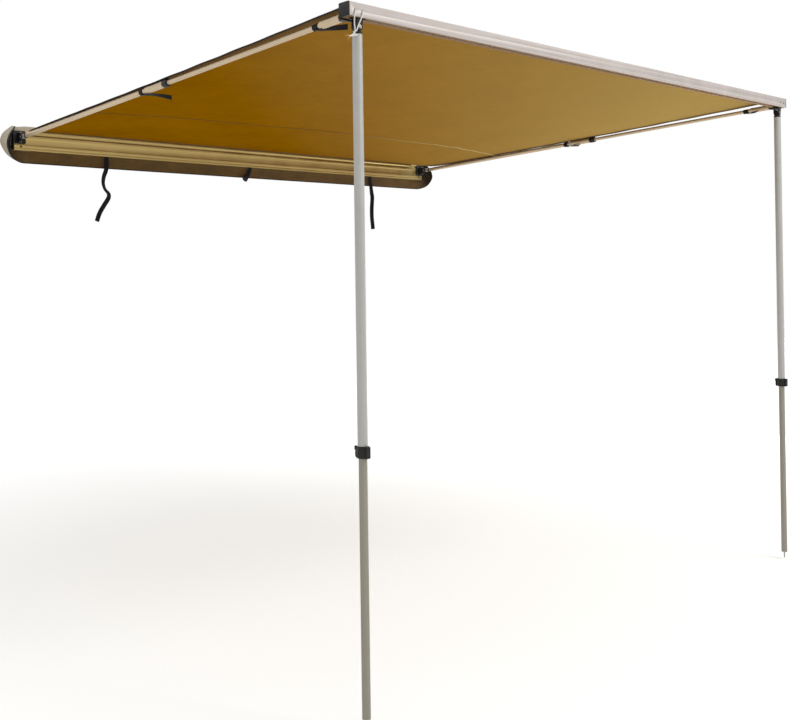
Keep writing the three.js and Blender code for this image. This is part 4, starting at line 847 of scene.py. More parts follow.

# The seam is cloth of the same weave, with stitches on both sides of its middle. It is painted darker
# than the sheet, as painted shade where doubled cloth lets less light through, and its right half is
# painted paler, as painted light.
seam_cloth, tree, shader = new_material("doubled_seam_canvas", 0.8, gloss=0.1)
uv = add_node(tree, "ShaderNodeUVMap", uv_map="surface")
over, along = add_node(tree, "ShaderNodeSeparateXYZ", {0: uv}).outputs[:2]
middle = add_node(tree, "ShaderNodeMath", {0: over}, operation="ABSOLUTE")
weave, crossing = woven(tree, uv, (THREAD, THREAD))
seam_painted_light = add_node(tree, "ShaderNodeMapRange", {"Value": along, "From Min": 1.2, "From Max": 2.1})
thread = painted(tree, "#4A3108", (seam_painted_light, "#B59C5E"))
colour_and_bump(tree, shader, painted(tree, "#6E4B08", (crossing, "#7A540C"), (seam_painted_light, "#D0B878"),
                                      (stitch_row(tree, middle, along, 4.0), thread)), weave, 0.2)
a = np.linspace(-0.992, 0.992, 260)
s = (SHEET_START[0] - (SEAM_SIDE + SEAM_BOW * (1 - a**2))) / (SHEET_START - SHEET_END)[0]
seam = canopy_surface(a, s)
seam[:, 2] -= SHEET_HALF_THICKNESS + SEAM_THICKNESS * 0.3
canopy_trim.append(canopy_strip("canopy_seam", seam, np.tile([0.0, 1, 0], (len(a), 1)), SEAM_WIDTH,
                                SEAM_THICKNESS, seam_cloth, "canopy_cloth"))
print("canopy trim:", [piece.name for piece in canopy_trim])

# %% The arms' slope, and own meshes for the canopy pieces
ARM_SLOPE = math.atan(ARM_RISE)
for piece in (canopy, *canopy_trim):
    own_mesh(piece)

# %% [markdown]
# ## Aluminium
# Rails and tubes are aluminium pushed or drawn through a die, then anodised. That leaves fine lines
# along the piece, and a satin surface that reflects the room softly. The lines are one noise texture
# stretched along the piece: it changes the colour and the roughness a little, and lifts the surface
# by a few microns. Rails use their own coordinates, and tubes the map that runs round and along them.

# %% Aluminium materials
def drawn_aluminium(name, light, dark, roughness, vector, stretch, metallic=1.0):
    """Satin anodised aluminium with die lines. stretch is the number of noise cells per metre in each
    direction of the coordinates: few along the piece and hundreds across it. A thick anodised layer
    scatters part of the light like paint, which a metallic value below 1 gives."""
    material, tree, shader = new_material(name, roughness, metallic)
    if vector == "Object":
        source = add_node(tree, "ShaderNodeTexCoord").outputs["Object"]
    else:
        source = add_node(tree, "ShaderNodeUVMap", uv_map="surface")
    lines = add_node(tree, "ShaderNodeMapping", {"Vector": source, "Scale": stretch})
    lines = add_node(tree, "ShaderNodeTexNoise", {"Vector": lines, "Scale": 1.0, "Detail": 2.0})
    # Handling leaves wide, faint dull patches.
    marks = add_node(tree, "ShaderNodeTexNoise",
                     {"Vector": source, "Scale": 11.0, "Detail": 4.0, "Roughness": 0.65})
    tone = add_node(tree, "ShaderNodeMix", {0: 0.4, 2: lines, 3: marks})
    tone = add_node(tree, "ShaderNodeMapRange", {"Value": tone, "From Min": 0.35, "From Max": 0.65})
    dull = add_node(tree, "ShaderNodeMapRange",
                    {"Value": marks, "From Min": 0.3, "From Max": 0.7, "To Min": roughness - 0.06,
                     "To Max": roughness + 0.08})
    tree.links.new(dull.outputs[0], shader.inputs["Roughness"])
    colour_and_bump(tree, shader, painted(tree, dark, (tone, light)), lines.outputs[0], 0.02)
    return material


RAIL_LINES = (1.5, 420.0, 420.0)
TUBE_LINES = (500.0, 2.0, 1.0)
# The back rail's golden tone is a painted reflection of the golden canopy over it.
canopy_tinted_rail = drawn_aluminium("canopy_tinted_anodised_extrusion", "#C6AF76", "#AD975F", 0.46,
                                 "Object", RAIL_LINES)
pale_rail = drawn_aluminium("pale_anodised_extrusion", "#C2BAB6", "#B0A8A3", 0.56, "Object", RAIL_LINES)
# Painted shade: the rail's downward faces are painted a darker brown, standing for the shade under
# the rail, and they are rougher.
shaded_underside = drawn_aluminium("painted_shade_extrusion_underside", "#98733E", "#7D5A2D", 0.7, "Object",
                                 RAIL_LINES)
# The arm tubes' warm tone is partly their own and partly a painted reflection of the golden canopy.
arm_tube_metal = drawn_aluminium("canopy_tinted_drawn_tube", "#D6C2A4", "#BFAC8F", 0.44, "surface",
                                 TUBE_LINES, 0.6)
upper_leg_metal = drawn_aluminium("silver_drawn_tube", "#BAB9B5", "#AAA9A4", 0.5, "surface",
                                  TUBE_LINES, 0.35)
# The lower tube is set darker than the upper one: partly its own tone, partly painted shade nearer the
# floor.
lower_leg_metal = drawn_aluminium("grey_drawn_tube", "#9B978A", "#8D897C", 0.52, "surface",
                                  TUBE_LINES, 0.35)

# %% [markdown]
# ## Black plastic, steel and webbing
# Brackets, collars and hooks are moulded nylon: nearly black, dull, with a fine spark-eroded grain.
# Pins and spikes are zinc-plated steel. Straps are woven polypropylene, with ribs along their length.

# %% Plastic, steel and webbing materials
moulded_nylon, tree, shader = new_material("moulded_black_nylon", 0.5, gloss=0.3)
source = add_node(tree, "ShaderNodeTexCoord").outputs["Object"]
grain = add_node(tree, "ShaderNodeTexNoise", {"Vector": source, "Scale": 1400.0, "Detail": 2.0})
dust = add_node(tree, "ShaderNodeTexNoise", {"Vector": source, "Scale": 45.0, "Detail": 4.0})
dust = add_node(tree, "ShaderNodeMapRange", {"Value": dust, "From Min": 0.35, "From Max": 0.75})
colour_and_bump(tree, shader, painted(tree, "#0D0D0E", (dust, "#1C1B1A")), grain.outputs[0], 0.05)

plated_steel = speckled("zinc_plated_steel", 0.34, 1.0,
                        {"Scale": 160.0, "Detail": 5.0, "Roughness": 0.7}, "#7E7D78", "#B4B2AA", 0.03)
# Blackened steel screws: dark and a little shiny.
black_steel = speckled("blackened_steel", 0.4, 1.0, {"Scale": 300.0, "Detail": 3.0}, "#1C1B1A",
                       "#343230", 0.02)

RIB, PICK = 2.6, 2.2
woven_strap = tape_material("woven_polypropylene_webbing", 0.66, 0.2, (RIB, PICK), "#0A0A0B",
                            "#141416", 0.2, "COSINE")
print("materials so far:", len(bpy.data.materials))

# %% [markdown]
# ## Turned pieces
# Tubes, sleeves, collars, pins and feet are round, so each is one profile turned about its own axis.
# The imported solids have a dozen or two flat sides; these have 64, with rounded edges, and take the
# same radii and the same places. Every length is measured along the arm from its tilt pin, or up the
# leg from the ground.

# %% Where the arms and legs stand
ARM_X, TILT_PIN_Y, TILT_PIN_Z = 1228.0, -84.0, 10.0
CORNER_PIN_Y, CORNER_PIN_Z = -2284.0, 101.0
ARM_LENGTH = math.hypot(CORNER_PIN_Z - TILT_PIN_Z, TILT_PIN_Y - CORNER_PIN_Y)
LEG_X, LEG_Y, PIVOT_Z, GROUND_Z = 1208.0, -2317.0, 69.0, -1846.0
LEG_TOP_Z, CLAMP_FOOT_Z = 49.0, -1128.0
SIDES_OF_IT = ((-1, "left"), (1, "right"))


def arm_place(side):
    """Origin and axes of a piece on an arm: x across, y up from the arm, z along it."""
    rise, run = math.sin(ARM_SLOPE), math.cos(ARM_SLOPE)
    return (side * ARM_X, TILT_PIN_Y, TILT_PIN_Z), (1, 0, 0), (0, rise, run), (0, -run, rise)


def leg_place(side, z=0.0):
    return (side * LEG_X, LEG_Y, z), (1, 0, 0), (0, 1, 0), (0, 0, 1)


def stand_for(node, points, quads, materials, name=None, **more):
    """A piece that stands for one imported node, on that node's body."""
    body = frame["nodes"][node]["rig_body"]
    return make_piece(name or node + "_detailed", points, quads, body, slots[node], materials,
                      replaces=[node], **more)


slots = {row["node"]: row["material_slot"] for row in frame["record"]["subparts"]}
print("arm length:", round(ARM_LENGTH, 2), "mm,", len(set(slots.values())), "finishes")


# %% Turned pieces of the arms
def turned_piece(node, profile, place, material, hollow=True):
    """A profile turned into the stand-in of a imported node: a hollow one comes back to its start, and a
    solid one begins and ends on the axis."""
    points, uv = turned(profile, place)
    quads = grid_quads(len(profile), SIDES + 1, wrap_rows=hollow)
    return stand_for(node, points, quads, [material], uv=uv)


def ribbed(start, end, bore, valley, crest, ribs, lead):
    """A sleeve with rounded ribs: between two plain ends the radius is the valley's plus the height
    times |sin| to the power 0.35, which gives narrow grooves between full ribs."""
    t = np.linspace(0, 1, ribs * 8 + 1)
    radius = valley + (crest - valley) * np.abs(np.sin(np.pi * ribs * t)) ** 0.35
    level = start + lead + (end - start - 2 * lead) * t
    round_off = 0.9
    first = [(bore, start), (crest - round_off, start), (crest, start + round_off),
             (crest, start + lead - 1)]
    last = [(crest, end - lead + 1), (crest, end - round_off), (crest - round_off, end), (bore, end)]
    return np.vstack([first, np.stack([radius, level], 1), last])


def pipe(outside, bore, start, end):
    return eased([(bore, start), (outside, start), (outside, end), (bore, end)], 0.35, closed=True)


RING = [(8.3, 31), (9.8, 31), (11.3, 32.5), (11.3, 41.5), (9.8, 43), (8.3, 43)]
COLLAR = [(10.2, 1216), (11.6, 1216), (13.6, 1218), (13.6, 1244), (11.6, 1246), (8.2, 1246),
          (8.2, 1240), (10.2, 1240)]

FINE_RIBS = 9
ARM_PIECES = [
    ("arm_ring", eased(RING, 0.6, closed=True), moulded_nylon),
    ("arm_rear_tube", pipe(10, 8.5, 43, 1238), arm_tube_metal),
    ("arm_grip", ribbed(1094, 1214, 10.3, 11.8, 12.5, FINE_RIBS, 6), arm_tube_metal),
    ("arm_collar", eased(COLLAR, 0.7, closed=True), moulded_nylon),
    ("arm_front_tube", pipe(8, 6.6, 1140, ARM_LENGTH - 10), arm_tube_metal),
    ("arm_end_sleeve", ribbed(ARM_LENGTH - 102, ARM_LENGTH - 12, 8.3, 11.2, 11.8, FINE_RIBS, 5),
     arm_tube_metal),
]
for side, word in SIDES_OF_IT:
    for kind, profile, material in ARM_PIECES:
        turned_piece(f"{kind}_{word}", profile, arm_place(side), material)
print("arms:", len(ARM_PIECES), "turned pieces on each side")


# %% Turned pieces of the legs, and the pins
def headed_pin(node, radius, head, head_height, low, high, place):
    profile = [(0, low - head_height), (head, low - head_height), (head, low), (radius, low),
               (radius, high), (head, high), (head, high + head_height), (0, high + head_height)]
    turned_piece(node, eased(profile, 0.8), place, plated_steel, hollow=False)


FOOT = [(0, -34), (3, -25), (3, -4), (12.25, -4), (12.25, 0), (10.7, 0), (10.7, 30), (0, 30)]
ALONG_X, ALONG_Y, ALONG_Z = (1, 0, 0), (0, 1, 0), (0, 0, 1)
for side, word in SIDES_OF_IT:
    turned_piece(f"leg_upper_tube_{word}", pipe(14.5, 13.1, CLAMP_FOOT_Z + 14, LEG_TOP_Z),
                 leg_place(side), upper_leg_metal)
    turned_piece(f"leg_lower_tube_{word}", pipe(12.25, 10.9, GROUND_Z, -1016), leg_place(side),
                 lower_leg_metal)
    turned_piece(f"leg_foot_{word}", eased(FOOT, 0.7), leg_place(side, GROUND_Z), plated_steel,
                 hollow=False)
    headed_pin(f"arm_swing_pin_{word}", 3.5, 5.5, 2.6, -9.3, 29.3,
               ((side * ARM_X, -58, 0), ALONG_X, ALONG_Y, ALONG_Z))
    headed_pin(f"arm_tilt_pin_{word}", 3, 5, 2.2, -12.3, 12.3,
               ((side * ARM_X, TILT_PIN_Y, TILT_PIN_Z), ALONG_Y, ALONG_Z, ALONG_X))
    headed_pin(f"leg_pin_{word}", 3.5, 5.6, 2.2, -12.3, 12.3,
               ((side * LEG_X, LEG_Y, PIVOT_Z), ALONG_Z, ALONG_X, ALONG_Y))
print("legs and pins: 6 turned pieces on each side")

# %% [markdown]
# ## Moulded and cut pieces
# Brackets, blocks, yokes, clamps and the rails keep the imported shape: the triangles of a copy are
# merged back into flat faces, and a Bevel modifier rounds the edges, as a mould or a file leaves them.
# A real edge is never sharp, and the thin line of light along it is what makes the piece look solid.

# %% Rounded copies
FLAT_ANGLE, EDGE_ANGLE = math.radians(1), math.radians(30)


def rounded_copy(node, material, edge, under=None):
    """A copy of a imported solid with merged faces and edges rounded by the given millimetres. under is
    a second material for the faces that look down."""
    source = frame["nodes"][node]
    mesh = source.data.copy()
    mesh.name = node + "_rounded"
    weld(mesh, 1e-6, FLAT_ANGLE)
    mesh.materials.clear()
    mesh.materials.append(material)
    numbers = np.zeros(len(mesh.polygons), np.int32)
    if under:
        mesh.materials.append(under)
        normals = np.empty(3 * len(mesh.polygons), np.float32)
        mesh.polygons.foreach_get("normal", normals)
        numbers[normals[2::3] < -0.9] = 1
    mesh.polygons.foreach_set("material_index", numbers)
    piece = place_piece(mesh.name, mesh, source["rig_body"], [node])
    bevel = piece.modifiers.new("rounded_edges", "BEVEL")
    bevel.width, bevel.segments, bevel.angle_limit = edge * MM, 2, EDGE_ANGLE
    bevel.limit_method, bevel.harden_normals = "ANGLE", True


ROUNDED = [("back_rail", canopy_tinted_rail, 0.4, None), ("front_rail", pale_rail, 0.5, shaded_underside),
           ("strap_buckle", moulded_nylon, 0.8, None)]
for side, word in SIDES_OF_IT:
    ROUNDED += [(f"{kind}_{word}", moulded_nylon, edge, None) for kind, edge in (
        ("arm_bracket", 0.9), ("arm_yoke", 1.0), ("arm_hook", 0.9), ("corner_block", 0.9),
        ("leg_bracket", 0.8), ("leg_head", 0.8), ("leg_clamp", 0.8), ("leg_lever", 0.7))]
    ROUNDED.append((f"arm_root_{word}", pale_rail, 0.7, None))
for row in ROUNDED:
    rounded_copy(*row)
print("rounded copies:", len(ROUNDED))

# %% [markdown]
# ## The bag
# When the awning is rolled up, a bag is zipped round it. Open, the bag hangs from the back rail: a long
# flap below, a rounded end at each side and a folded lid on top. It is canvas with a coated outside and
# a dark lining. The ends are the hard part: each is a surface between three curves, from the seam at
# the rail over a belly to the rim, so the cloth stands out past the rail and curls forward.

# %% Bag materials
def bag_cloth_material(name, light, dark, thread, shade_tone=None):
    """Coated canvas: a coarse plain weave under a matt coating, with soft scuffs. The last argument, if
    given, is painted shade: a darker tone away from the flap, deep inside the bag's ends."""
    material, tree, shader = new_material(name, 0.78, gloss=0.3,
                                          **{"Sheen Weight": 0.1, "Sheen Roughness": 0.6})
    uv = add_node(tree, "ShaderNodeUVMap", uv_map="surface")
    weave, crossing = woven(tree, uv, (thread, thread), 0.35)
    scuffs = add_node(tree, "ShaderNodeTexNoise",
                      {"Vector": uv, "Scale": 9.0, "Detail": 5.0, "Roughness": 0.65})
    scuffs = add_node(tree, "ShaderNodeMapRange", {"Value": scuffs, "From Min": 0.32, "From Max": 0.7})
    coats = [(scuffs, dark)]
    if shade_tone:
        down = add_node(tree, "ShaderNodeSeparateXYZ", {0: uv}).outputs[1]
        coats.append((add_node(tree, "ShaderNodeMapRange",
                               {"Value": down, "From Min": 0.02, "From Max": 0.15}), shade_tone))
    colour_and_bump(tree, shader, painted(tree, light, *coats, (crossing, dark)), weave, 0.18)
    return material


bag_outside = bag_cloth_material("coated_bag_canvas", "#C2B5A2", "#A29786", 2.2)
bag_lining = bag_cloth_material("dark_bag_lining", "#765A2A", "#58431E", 1.8)
# The ends' lining turns darker away from the flap: painted shade deep inside the bag's ends.
bag_end_lining = bag_cloth_material("shaded_bag_end_lining", "#765A2A", "#58431E", 1.8, "#40372A")

# %% Flap under the back rail
FLAP_ROOT_Y, FLAP_RIM_Y = -14.0, -20.0
FLAP_TOP_Z, FLAP_RIM_Z = -43.8, -99.5
FLAP_HALF, BAG_THICKNESS = 1170.0, 2.0
FLAP_DROP, ZIP_WIDTH = 56.0, 5.6
# The cloth runs on under the zip's tape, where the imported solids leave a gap.
ZIP_START = 1 - ZIP_WIDTH / FLAP_DROP
CLOTH_END = ZIP_START + 0.02
FLAP_WAVES, FLAP_WAVE_HEIGHT = 6, 2
FLAP_PUCKER, FLAP_PUCKER_STEP, FLAP_PUCKER_SWAY, FLAP_PUCKER_DRIFT = 0.8, 23, 2.2, 131


def flap_surface(x, v):
    """Points of the flap at x along the rail and the share v of its drop: a plane that leans forward,
    with long waves that grow downward and small puckers that fade at the seam and at the zip."""
    wave = np.sin(np.pi * FLAP_WAVES * x / (2 * RAIL_END)) * FLAP_WAVE_HEIGHT * v
    fade = np.sin(np.pi * np.minimum(v / CLOTH_END, 1)) ** 2
    sway = FLAP_PUCKER_SWAY * np.sin(x / FLAP_PUCKER_DRIFT)
    pucker = FLAP_PUCKER * np.sin(x / FLAP_PUCKER_STEP + sway) * fade
    y = FLAP_ROOT_Y + (FLAP_RIM_Y - FLAP_ROOT_Y) * v + wave + pucker
    return gathered(x, y, FLAP_TOP_Z + (FLAP_RIM_Z - FLAP_TOP_Z) * v)


def two_sided(centre, half, front, back, name, node, normal=None, over=None):
    """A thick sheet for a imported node, with one material on each face. The rim takes the front's."""
    normal = grid_normals(centre) if normal is None else normal
    over = lengths_along(centre, 1) if over is None else over
    points, quads, faces = thick_sheet(centre, normal, half)
    return stand_for(node, points, quads, [front, back], name=name, faces=faces,
                     uv=both_faces(over, lengths_along(centre)))


x = np.linspace(-FLAP_HALF - 2, FLAP_HALF + 2, 601)
v = np.linspace(0, CLOTH_END, 22)
hanging = flap_surface(x[None, :], v[:, None])
# Heights and half thicknesses of the bead in the rail's groove.
bead_z, bead_half = np.array([(-36.3, 0.4), (-36.9, 1.8), (-38.6, 2.5), (-40.3, 1.8), (-41.2, 1.0)]).T
centre = np.concatenate([gathered(x, FLAP_ROOT_Y, bead_z[:, None]), hanging])
half = np.concatenate([bead_half, np.full(len(v), BAG_THICKNESS / 2)])[:, None]
flap = two_sided(centre, half, bag_lining, bag_outside, "bag_flap_cloth", "bag_flap")


# %% Rounded ends of the bag
# Each station is x past the rail's end, y and z of a curve, from the flap's seam to the top.
BAG_BULGE, BAG_FORWARD, RAIL_DEPTH = 66.0, 56.0, 36.0
ROOT_SHARES = [(-0.072, 0.58, -0.448), (-0.078, 0.61, -0.36), (-0.078, 0.667, -0.12),
               (-0.078, 0.667, 0.14), (-0.078, 0.61, 0.47)]
BELLY_SHARES = [(0.25, 0.33, -0.8), (-0.42, 0.055, -0.66), (-0.93, -0.05, -0.16),
                (-0.76, 0, 0.22), (-0.12, 0.2, 0.6)]
RIM_SHARES = [(0.45, 0, -0.985), (-0.25, -0.45, -0.77), (-0.56, -0.82, -0.3),
              (-0.42, -0.75, 0.12), (0, -0.36, 0.56)]


def bag_end_stations(shares, y, z):
    """The flap's corner, then each share of the bulge, of the depth (behind the rail's face) or of the
    forward reach (before it), and of the flap's full drop."""
    rest = [(-RAIL_END + past * BAG_BULGE,
             -RAIL_DEPTH + out * (RAIL_DEPTH if out > 0 else BAG_FORWARD), -up * FLAP_RIM_Z)
            for past, out, up in shares]
    return np.array([(-FLAP_HALF, y, z), *rest])


BAG_CURVES = [
    bag_end_stations(ROOT_SHARES, FLAP_ROOT_Y, FLAP_TOP_Z),
    bag_end_stations(BELLY_SHARES, (FLAP_ROOT_Y + FLAP_RIM_Y) / 2, (FLAP_TOP_Z + FLAP_RIM_Z) / 2),
    bag_end_stations(RIM_SHARES, FLAP_RIM_Y, FLAP_RIM_Z),
]


def bag_end_surface(u, v):
    """Points between three curves: at the share v the weights are those of the parabola through the
    root (v = 0), the belly (v = 1/2) and the rim (v = 1)."""
    root, belly, rim = (curve_points(stations, u)[:, None] for stations in BAG_CURVES)
    under_rail = root[..., 2] < FLAP_TOP_Z - 0.3
    root[..., 2] = np.where(under_rail, FLAP_TOP_Z - 0.3, root[..., 2])
    v = np.asarray(v, float)[None, :, None]
    return 2 * (v - 0.5) * (v - 1) * root + 4 * v * (1 - v) * belly + 2 * v * (v - 0.5) * rim


u = np.linspace(0, 1, 121)
v = np.linspace(0, CLOTH_END, 41)
shell = bag_end_surface(u, v)
normal = grid_normals(shell)
# Soft dents and creases, a millimetre deep, that die away at the seams.
DENT_DEPTH = 0.55
dent = np.sin(9 * u[:, None] + 5 * v) + 0.6 * np.sin(23 * u[:, None] - 11 * v + 1.3)
fade = np.sin(np.pi * u)[:, None] * np.sin(np.pi * v / CLOTH_END)
shell = shell + normal * (DENT_DEPTH * dent * fade)[..., None]
# A rounded end is cut from a rectangle a quarter larger than itself.
for side, word in SIDES_OF_IT:
    centre = shell if side < 0 else shell * (-1, 1, 1)
    faces = (bag_end_lining, bag_outside) if side < 0 else (bag_outside, bag_end_lining)
    end = two_sided(centre, BAG_THICKNESS / 2, *faces, f"bag_end_cloth_{word}", f"bag_end_{word}")

# %% [markdown]
# The zip runs along the rim, from the top of one end, under the flap, to the top of the other. Its tape
# is a thin strip, and its coil is a tube whose radius swells once for each tooth.

# %% The zip
zip_tape = tape_material("woven_zip_tape", 0.8, 0.15, (1.2, 1.2), "#090909", "#161513", 0.12)
zip_coil, tree, shader = new_material("black_nylon_coil", 0.38, IOR=1.53)
# Painted highlight: the raised teeth are painted a little lighter than the valleys between them.
tooth = add_node(tree, "ShaderNodeAttribute", attribute_name="tooth").outputs["Fac"]
colour_and_bump(tree, shader, painted(tree, "#060606", (tooth, "#1B1B1A")))

TOOTH_PITCH, TOOTH_STEPS, COIL_RADIUS, COIL_SIDES = 3.2, 4, 1.8, 8
TAPE_HALF, TOOTH_RELIEF = 0.9, 0.38
across = np.linspace(ZIP_START, 1, 5)
end_points = bag_end_surface(np.linspace(1, 0.01, 130), across)
under = flap_surface(np.linspace(-FLAP_HALF, FLAP_HALF, 500)[:, None], across[None, :])
centre = np.concatenate([end_points, under, end_points[::-1] * (-1, 1, 1)])
tape, tape_quads, _ = thick_sheet(centre, grid_normals(centre), TAPE_HALF)
line = centre[:, 2]
teeth = round(path_length(line) / TOOTH_PITCH)
coil_path = even_points(line[::4], teeth * TOOTH_STEPS + 1)
swell = np.abs(np.sin(np.pi * np.arange(len(coil_path)) / TOOTH_STEPS))
coil, coil_quads, rows = closed_tube(coil_path, COIL_RADIUS + TOOTH_RELIEF * swell[:, None],
                                     COIL_SIDES, (0, 1, 0.2))
points, quads = joined((tape, tape_quads), (coil, coil_quads))
uv = np.zeros((len(points), 2))
uv[: len(tape)] = both_faces(lengths_along(centre, 1), lengths_along(centre))
raised = np.concatenate([np.zeros(len(tape)), np.repeat(swell[rows], COIL_SIDES)])
stand_for("bag_zip", points, quads, [zip_tape, zip_coil], name="bag_zip_toothed", uv=uv,
          faces=np.repeat([0, 1], [len(tape_quads), len(coil_quads)]), values={"tooth": raised})
print("zip:", teeth, "teeth")

# %% The folded lid
LID_HALF, LID_MIDDLE, LID_DEPTH, LID_WALL = 1253.5, -13.0, 8.0, 2.4
LID_BASE, LID_RISE, LID_WAVE, LID_WAVES = 43.8, 22.0, 1.6, 5
CRINKLES, CRINKLE_SWAY, SWAYS, CRINKLE_SHARE = 31, 2, 7, 0.035
LID_TAPER, TAPERED_RISE, LID_FULLNESS = 0.05, 0.7, 0.6


def lid_surface(u, v, inward):
    """Points over the rail's top: y follows a cosine and z a sine to a power below 1, so the fold is
    full and flat-topped. It is lower at both ends, and waves run along it."""
    ease = np.minimum(1, (1 - np.abs(2 * u - 1)) / LID_TAPER)
    sway = CRINKLE_SWAY * np.sin(2 * np.pi * SWAYS * u)
    crinkle = np.sin(2 * np.pi * CRINKLES * u + sway) * ease * np.sin(np.pi * v)
    y = LID_MIDDLE - (LID_DEPTH - inward) * np.cos(np.pi * v) * (1 + CRINKLE_SHARE * crinkle)
    wave = np.sin(2 * np.pi * LID_WAVES * u) * LID_WAVE * ease
    rise = (LID_RISE - inward) * (TAPERED_RISE + (1 - TAPERED_RISE) * ease) + wave
    z = LID_BASE + rise * np.sin(np.pi * v) ** LID_FULLNESS
    return gathered((2 * u - 1) * LID_HALF, y, z)


u = np.linspace(0, 1, 421)[None, :]
v = np.linspace(0, 1, 29)[:, None]
outer, inner = lid_surface(u, v, 0), lid_surface(u, v, LID_WALL)
inner[[0, -1], :, 2] = LID_BASE
centre, half = (outer + inner) / 2, np.linalg.norm(outer - inner, axis=2) / 2
lid = two_sided(centre, half, bag_outside, bag_lining, "bag_lid_folded", "bag_lid",
                unit(outer - inner), centre[..., 0])

# %% [markdown]
# ## Straps and bands
# Straps hang from the rail's foot and tie the rolled bag. Hanging free they twist, so each station of
# a strap has a turn as well as a place. Short hook-and-loop bands go round the arms, with their tails
# loose underneath. All are one woven ribbon section carried along a line.

# %% Hanging straps
WEBBING_WIDTH, WEBBING_THICKNESS = 22.5, 1.8
STRAP_HANG, MIDDLE_HANG, STRAP_OUT, STRAP_GAP = 304.0, 42.0, 16.0, 0.7
RAIL_FOOT = -43.5
STRAPS = {
    "left": (-807.0, STRAP_HANG, [
        (0, 0, 0.95, 0), (-0.003, 0.099, 0.97, 0), (-0.013, 0.204, 1, 3), (-0.049, 0.303, 1, 10),
        (-0.0625, 0.408, 1, 20), (-0.036, 0.5, 1.06, 24), (0.023, 0.572, 1.12, 14),
        (0.023, 0.625, 1.12, 4), (-0.049, 0.743, 1.06, 0), (-0.128, 0.875, 1, 0), (-0.174, 1, 1, 0)]),
    "right": (834.0, STRAP_HANG, [
        (0, 0, 0.95, 0), (0.008, 0.099, 0.97, -3), (0.023, 0.197, 1, -10), (0.038, 0.303, 1, -28),
        (0.05, 0.39, 1.06, -40), (0.044, 0.49, 1.06, -42), (0.034, 0.61, 1.06, -38),
        (0.036, 0.76, 1, -34), (0.05, 0.9, 1, -32), (0.06, 1, 1, -34)]),
    "middle": (0.0, MIDDLE_HANG, [(0, 0, 0.95, 0), (0, 0.26, 0.97, 0), (-0.16, 0.64, 1, 0),
                                  (-0.4, 1, 1.06, 0)]),
}
for word, (at, hang, shares) in STRAPS.items():
    path = even_points([(at + aside * hang, FLAP_ROOT_Y - out * STRAP_OUT,
                         RAIL_FOOT - STRAP_GAP - down * hang, turn)
                        for aside, down, out, turn in shares], 90 if hang > 100 else 20)
    path, turn = path[:, :3], np.radians(path[:, 3])
    across = np.stack([np.cos(turn), np.sin(turn), np.zeros_like(turn)], 1)
    points, quads, uv = strip_shape(path, across, WEBBING_WIDTH, WEBBING_THICKNESS)
    strap = stand_for(f"strap_{word}", points, quads, [woven_strap], name=f"strap_{word}_woven", uv=uv)
    print("strap", word, round(path_length(path)), "mm")

# %% Bands round the arms
BAND_WIDTH, BAND_THICKNESS, BAND_SLACK, TAIL_WIDTH = 24.0, 1.6, 0.3, 18.0
# Each band's tube radius, its start along the arm and the length of its tail.
BANDS = [("rear", 10, 1052, 96), ("front", 8, ARM_LENGTH - 134, 58)]
# How far the tails of the rear and front bands swing inward, droop and roll (in degrees), on the left
# and on the right.
TAIL_SWINGS = {-1: ((54.0, 29.0, 48), (58.0, 1.0, 28)), 1: ((34.0, 16.0, 40), (34.0, 8.0, 30))}


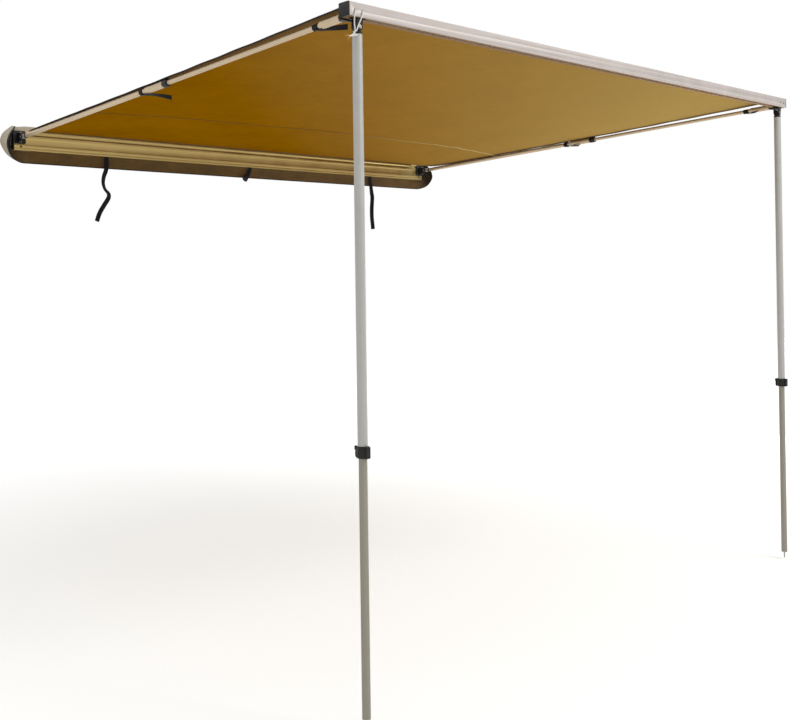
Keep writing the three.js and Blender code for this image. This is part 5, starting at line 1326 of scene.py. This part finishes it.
def band(node, tube_radius, start, tail, place, inward, droop, roll):
    """A ring round the arm, and a tail that leaves its underside, curls inward and droops: both grow
    as the square of the way along it. Its inner edge rolls down evenly by the roll in degrees."""
    bore = tube_radius + BAND_SLACK
    outer = bore + BAND_THICKNESS
    end = start + BAND_WIDTH
    ring = eased([(bore, start), (outer, start), (outer, end), (bore, end)], 0.5, closed=True)
    loop, loop_uv = turned(ring, place)
    loop_quads = grid_quads(len(ring), SIDES + 1, wrap_rows=True)
    path = even_points([(0, -outer + BAND_THICKNESS / 3, start + BAND_WIDTH / 2), (0, -outer - 2, end)]
                       + [(inward * t**2, -outer - 2 - 3 * t - (droop - outer) * t**2, end + tail * t)
                          for t in (0.25, 0.5, 0.75, 1)], 40)
    origin, axes = np.array(place[0], float), np.array(place[1:], float)
    path = origin + path @ axes
    roll = np.radians(np.linspace(0, roll, len(path)))[:, None]
    flat = np.sign(inward) * axes[0] * np.cos(roll) - axes[1] * np.sin(roll)
    tail_points, tail_quads, tail_uv = strip_shape(path, flat, TAIL_WIDTH, BAND_THICKNESS)
    points, quads = joined((loop, loop_quads), (tail_points, tail_quads))
    piece = stand_for(node, points, quads, [woven_strap], name=node + "_woven",
                      uv=np.concatenate([loop_uv, tail_uv]))
    area = 2 * math.pi * (bore + outer) / 2 * BAND_WIDTH + path_length(path) * TAIL_WIDTH
    return area / BAND_WIDTH


for side, word in SIDES_OF_IT:
    for (kind, *sizes), (inward, *hang) in zip(BANDS, TAIL_SWINGS[side]):
        length = band(f"arm_band_{kind}_{word}", *sizes, arm_place(side), -side * inward, *hang)
        print(kind, word, "band:", round(length), "mm long")

# %% Screws
SCREW_HEAD, SCREW_HEIGHT, SCREW_SIDES = 4.4, 2.0, 20
SOCKET = [(0, 0.9), (1.9, 0.9), (2.1, SCREW_HEIGHT), (3.2, SCREW_HEIGHT - 0.1), (SCREW_HEAD, 0.7),
          (SCREW_HEAD, -2.5), (0, -2.5)]


def screws(name, places, outward, body, material, slot):
    """Button-head screws with a round socket, all in one piece. outward is the way the heads face."""
    aside = (0, 0, 1) if outward[2] == 0 else (1, 0, 0)
    ax = np.cross(aside, outward)
    profile = eased(SOCKET, 0.4)
    heads = [(turned(profile, (place, ax, np.cross(outward, ax), outward), SCREW_SIDES)[0],
              grid_quads(len(profile), SCREW_SIDES + 1)) for place in places]
    return make_piece(name, *joined(*heads), body, slot, [material])


for side, word in SIDES_OF_IT:
    screws(f"rail_screws_{word}", [(side * 1218.0, -36.0, -27.0)], (0, -1, 0), "back_rail",
           black_steel, "steel")
    screws(f"end_plate_screws_{word}", [(side * 1254.0, -18.0, z) for z in (-30.0, 30.0)],
           (side, 0, 0), "back_rail", black_steel, "steel")
print("screws: 3 on each side")
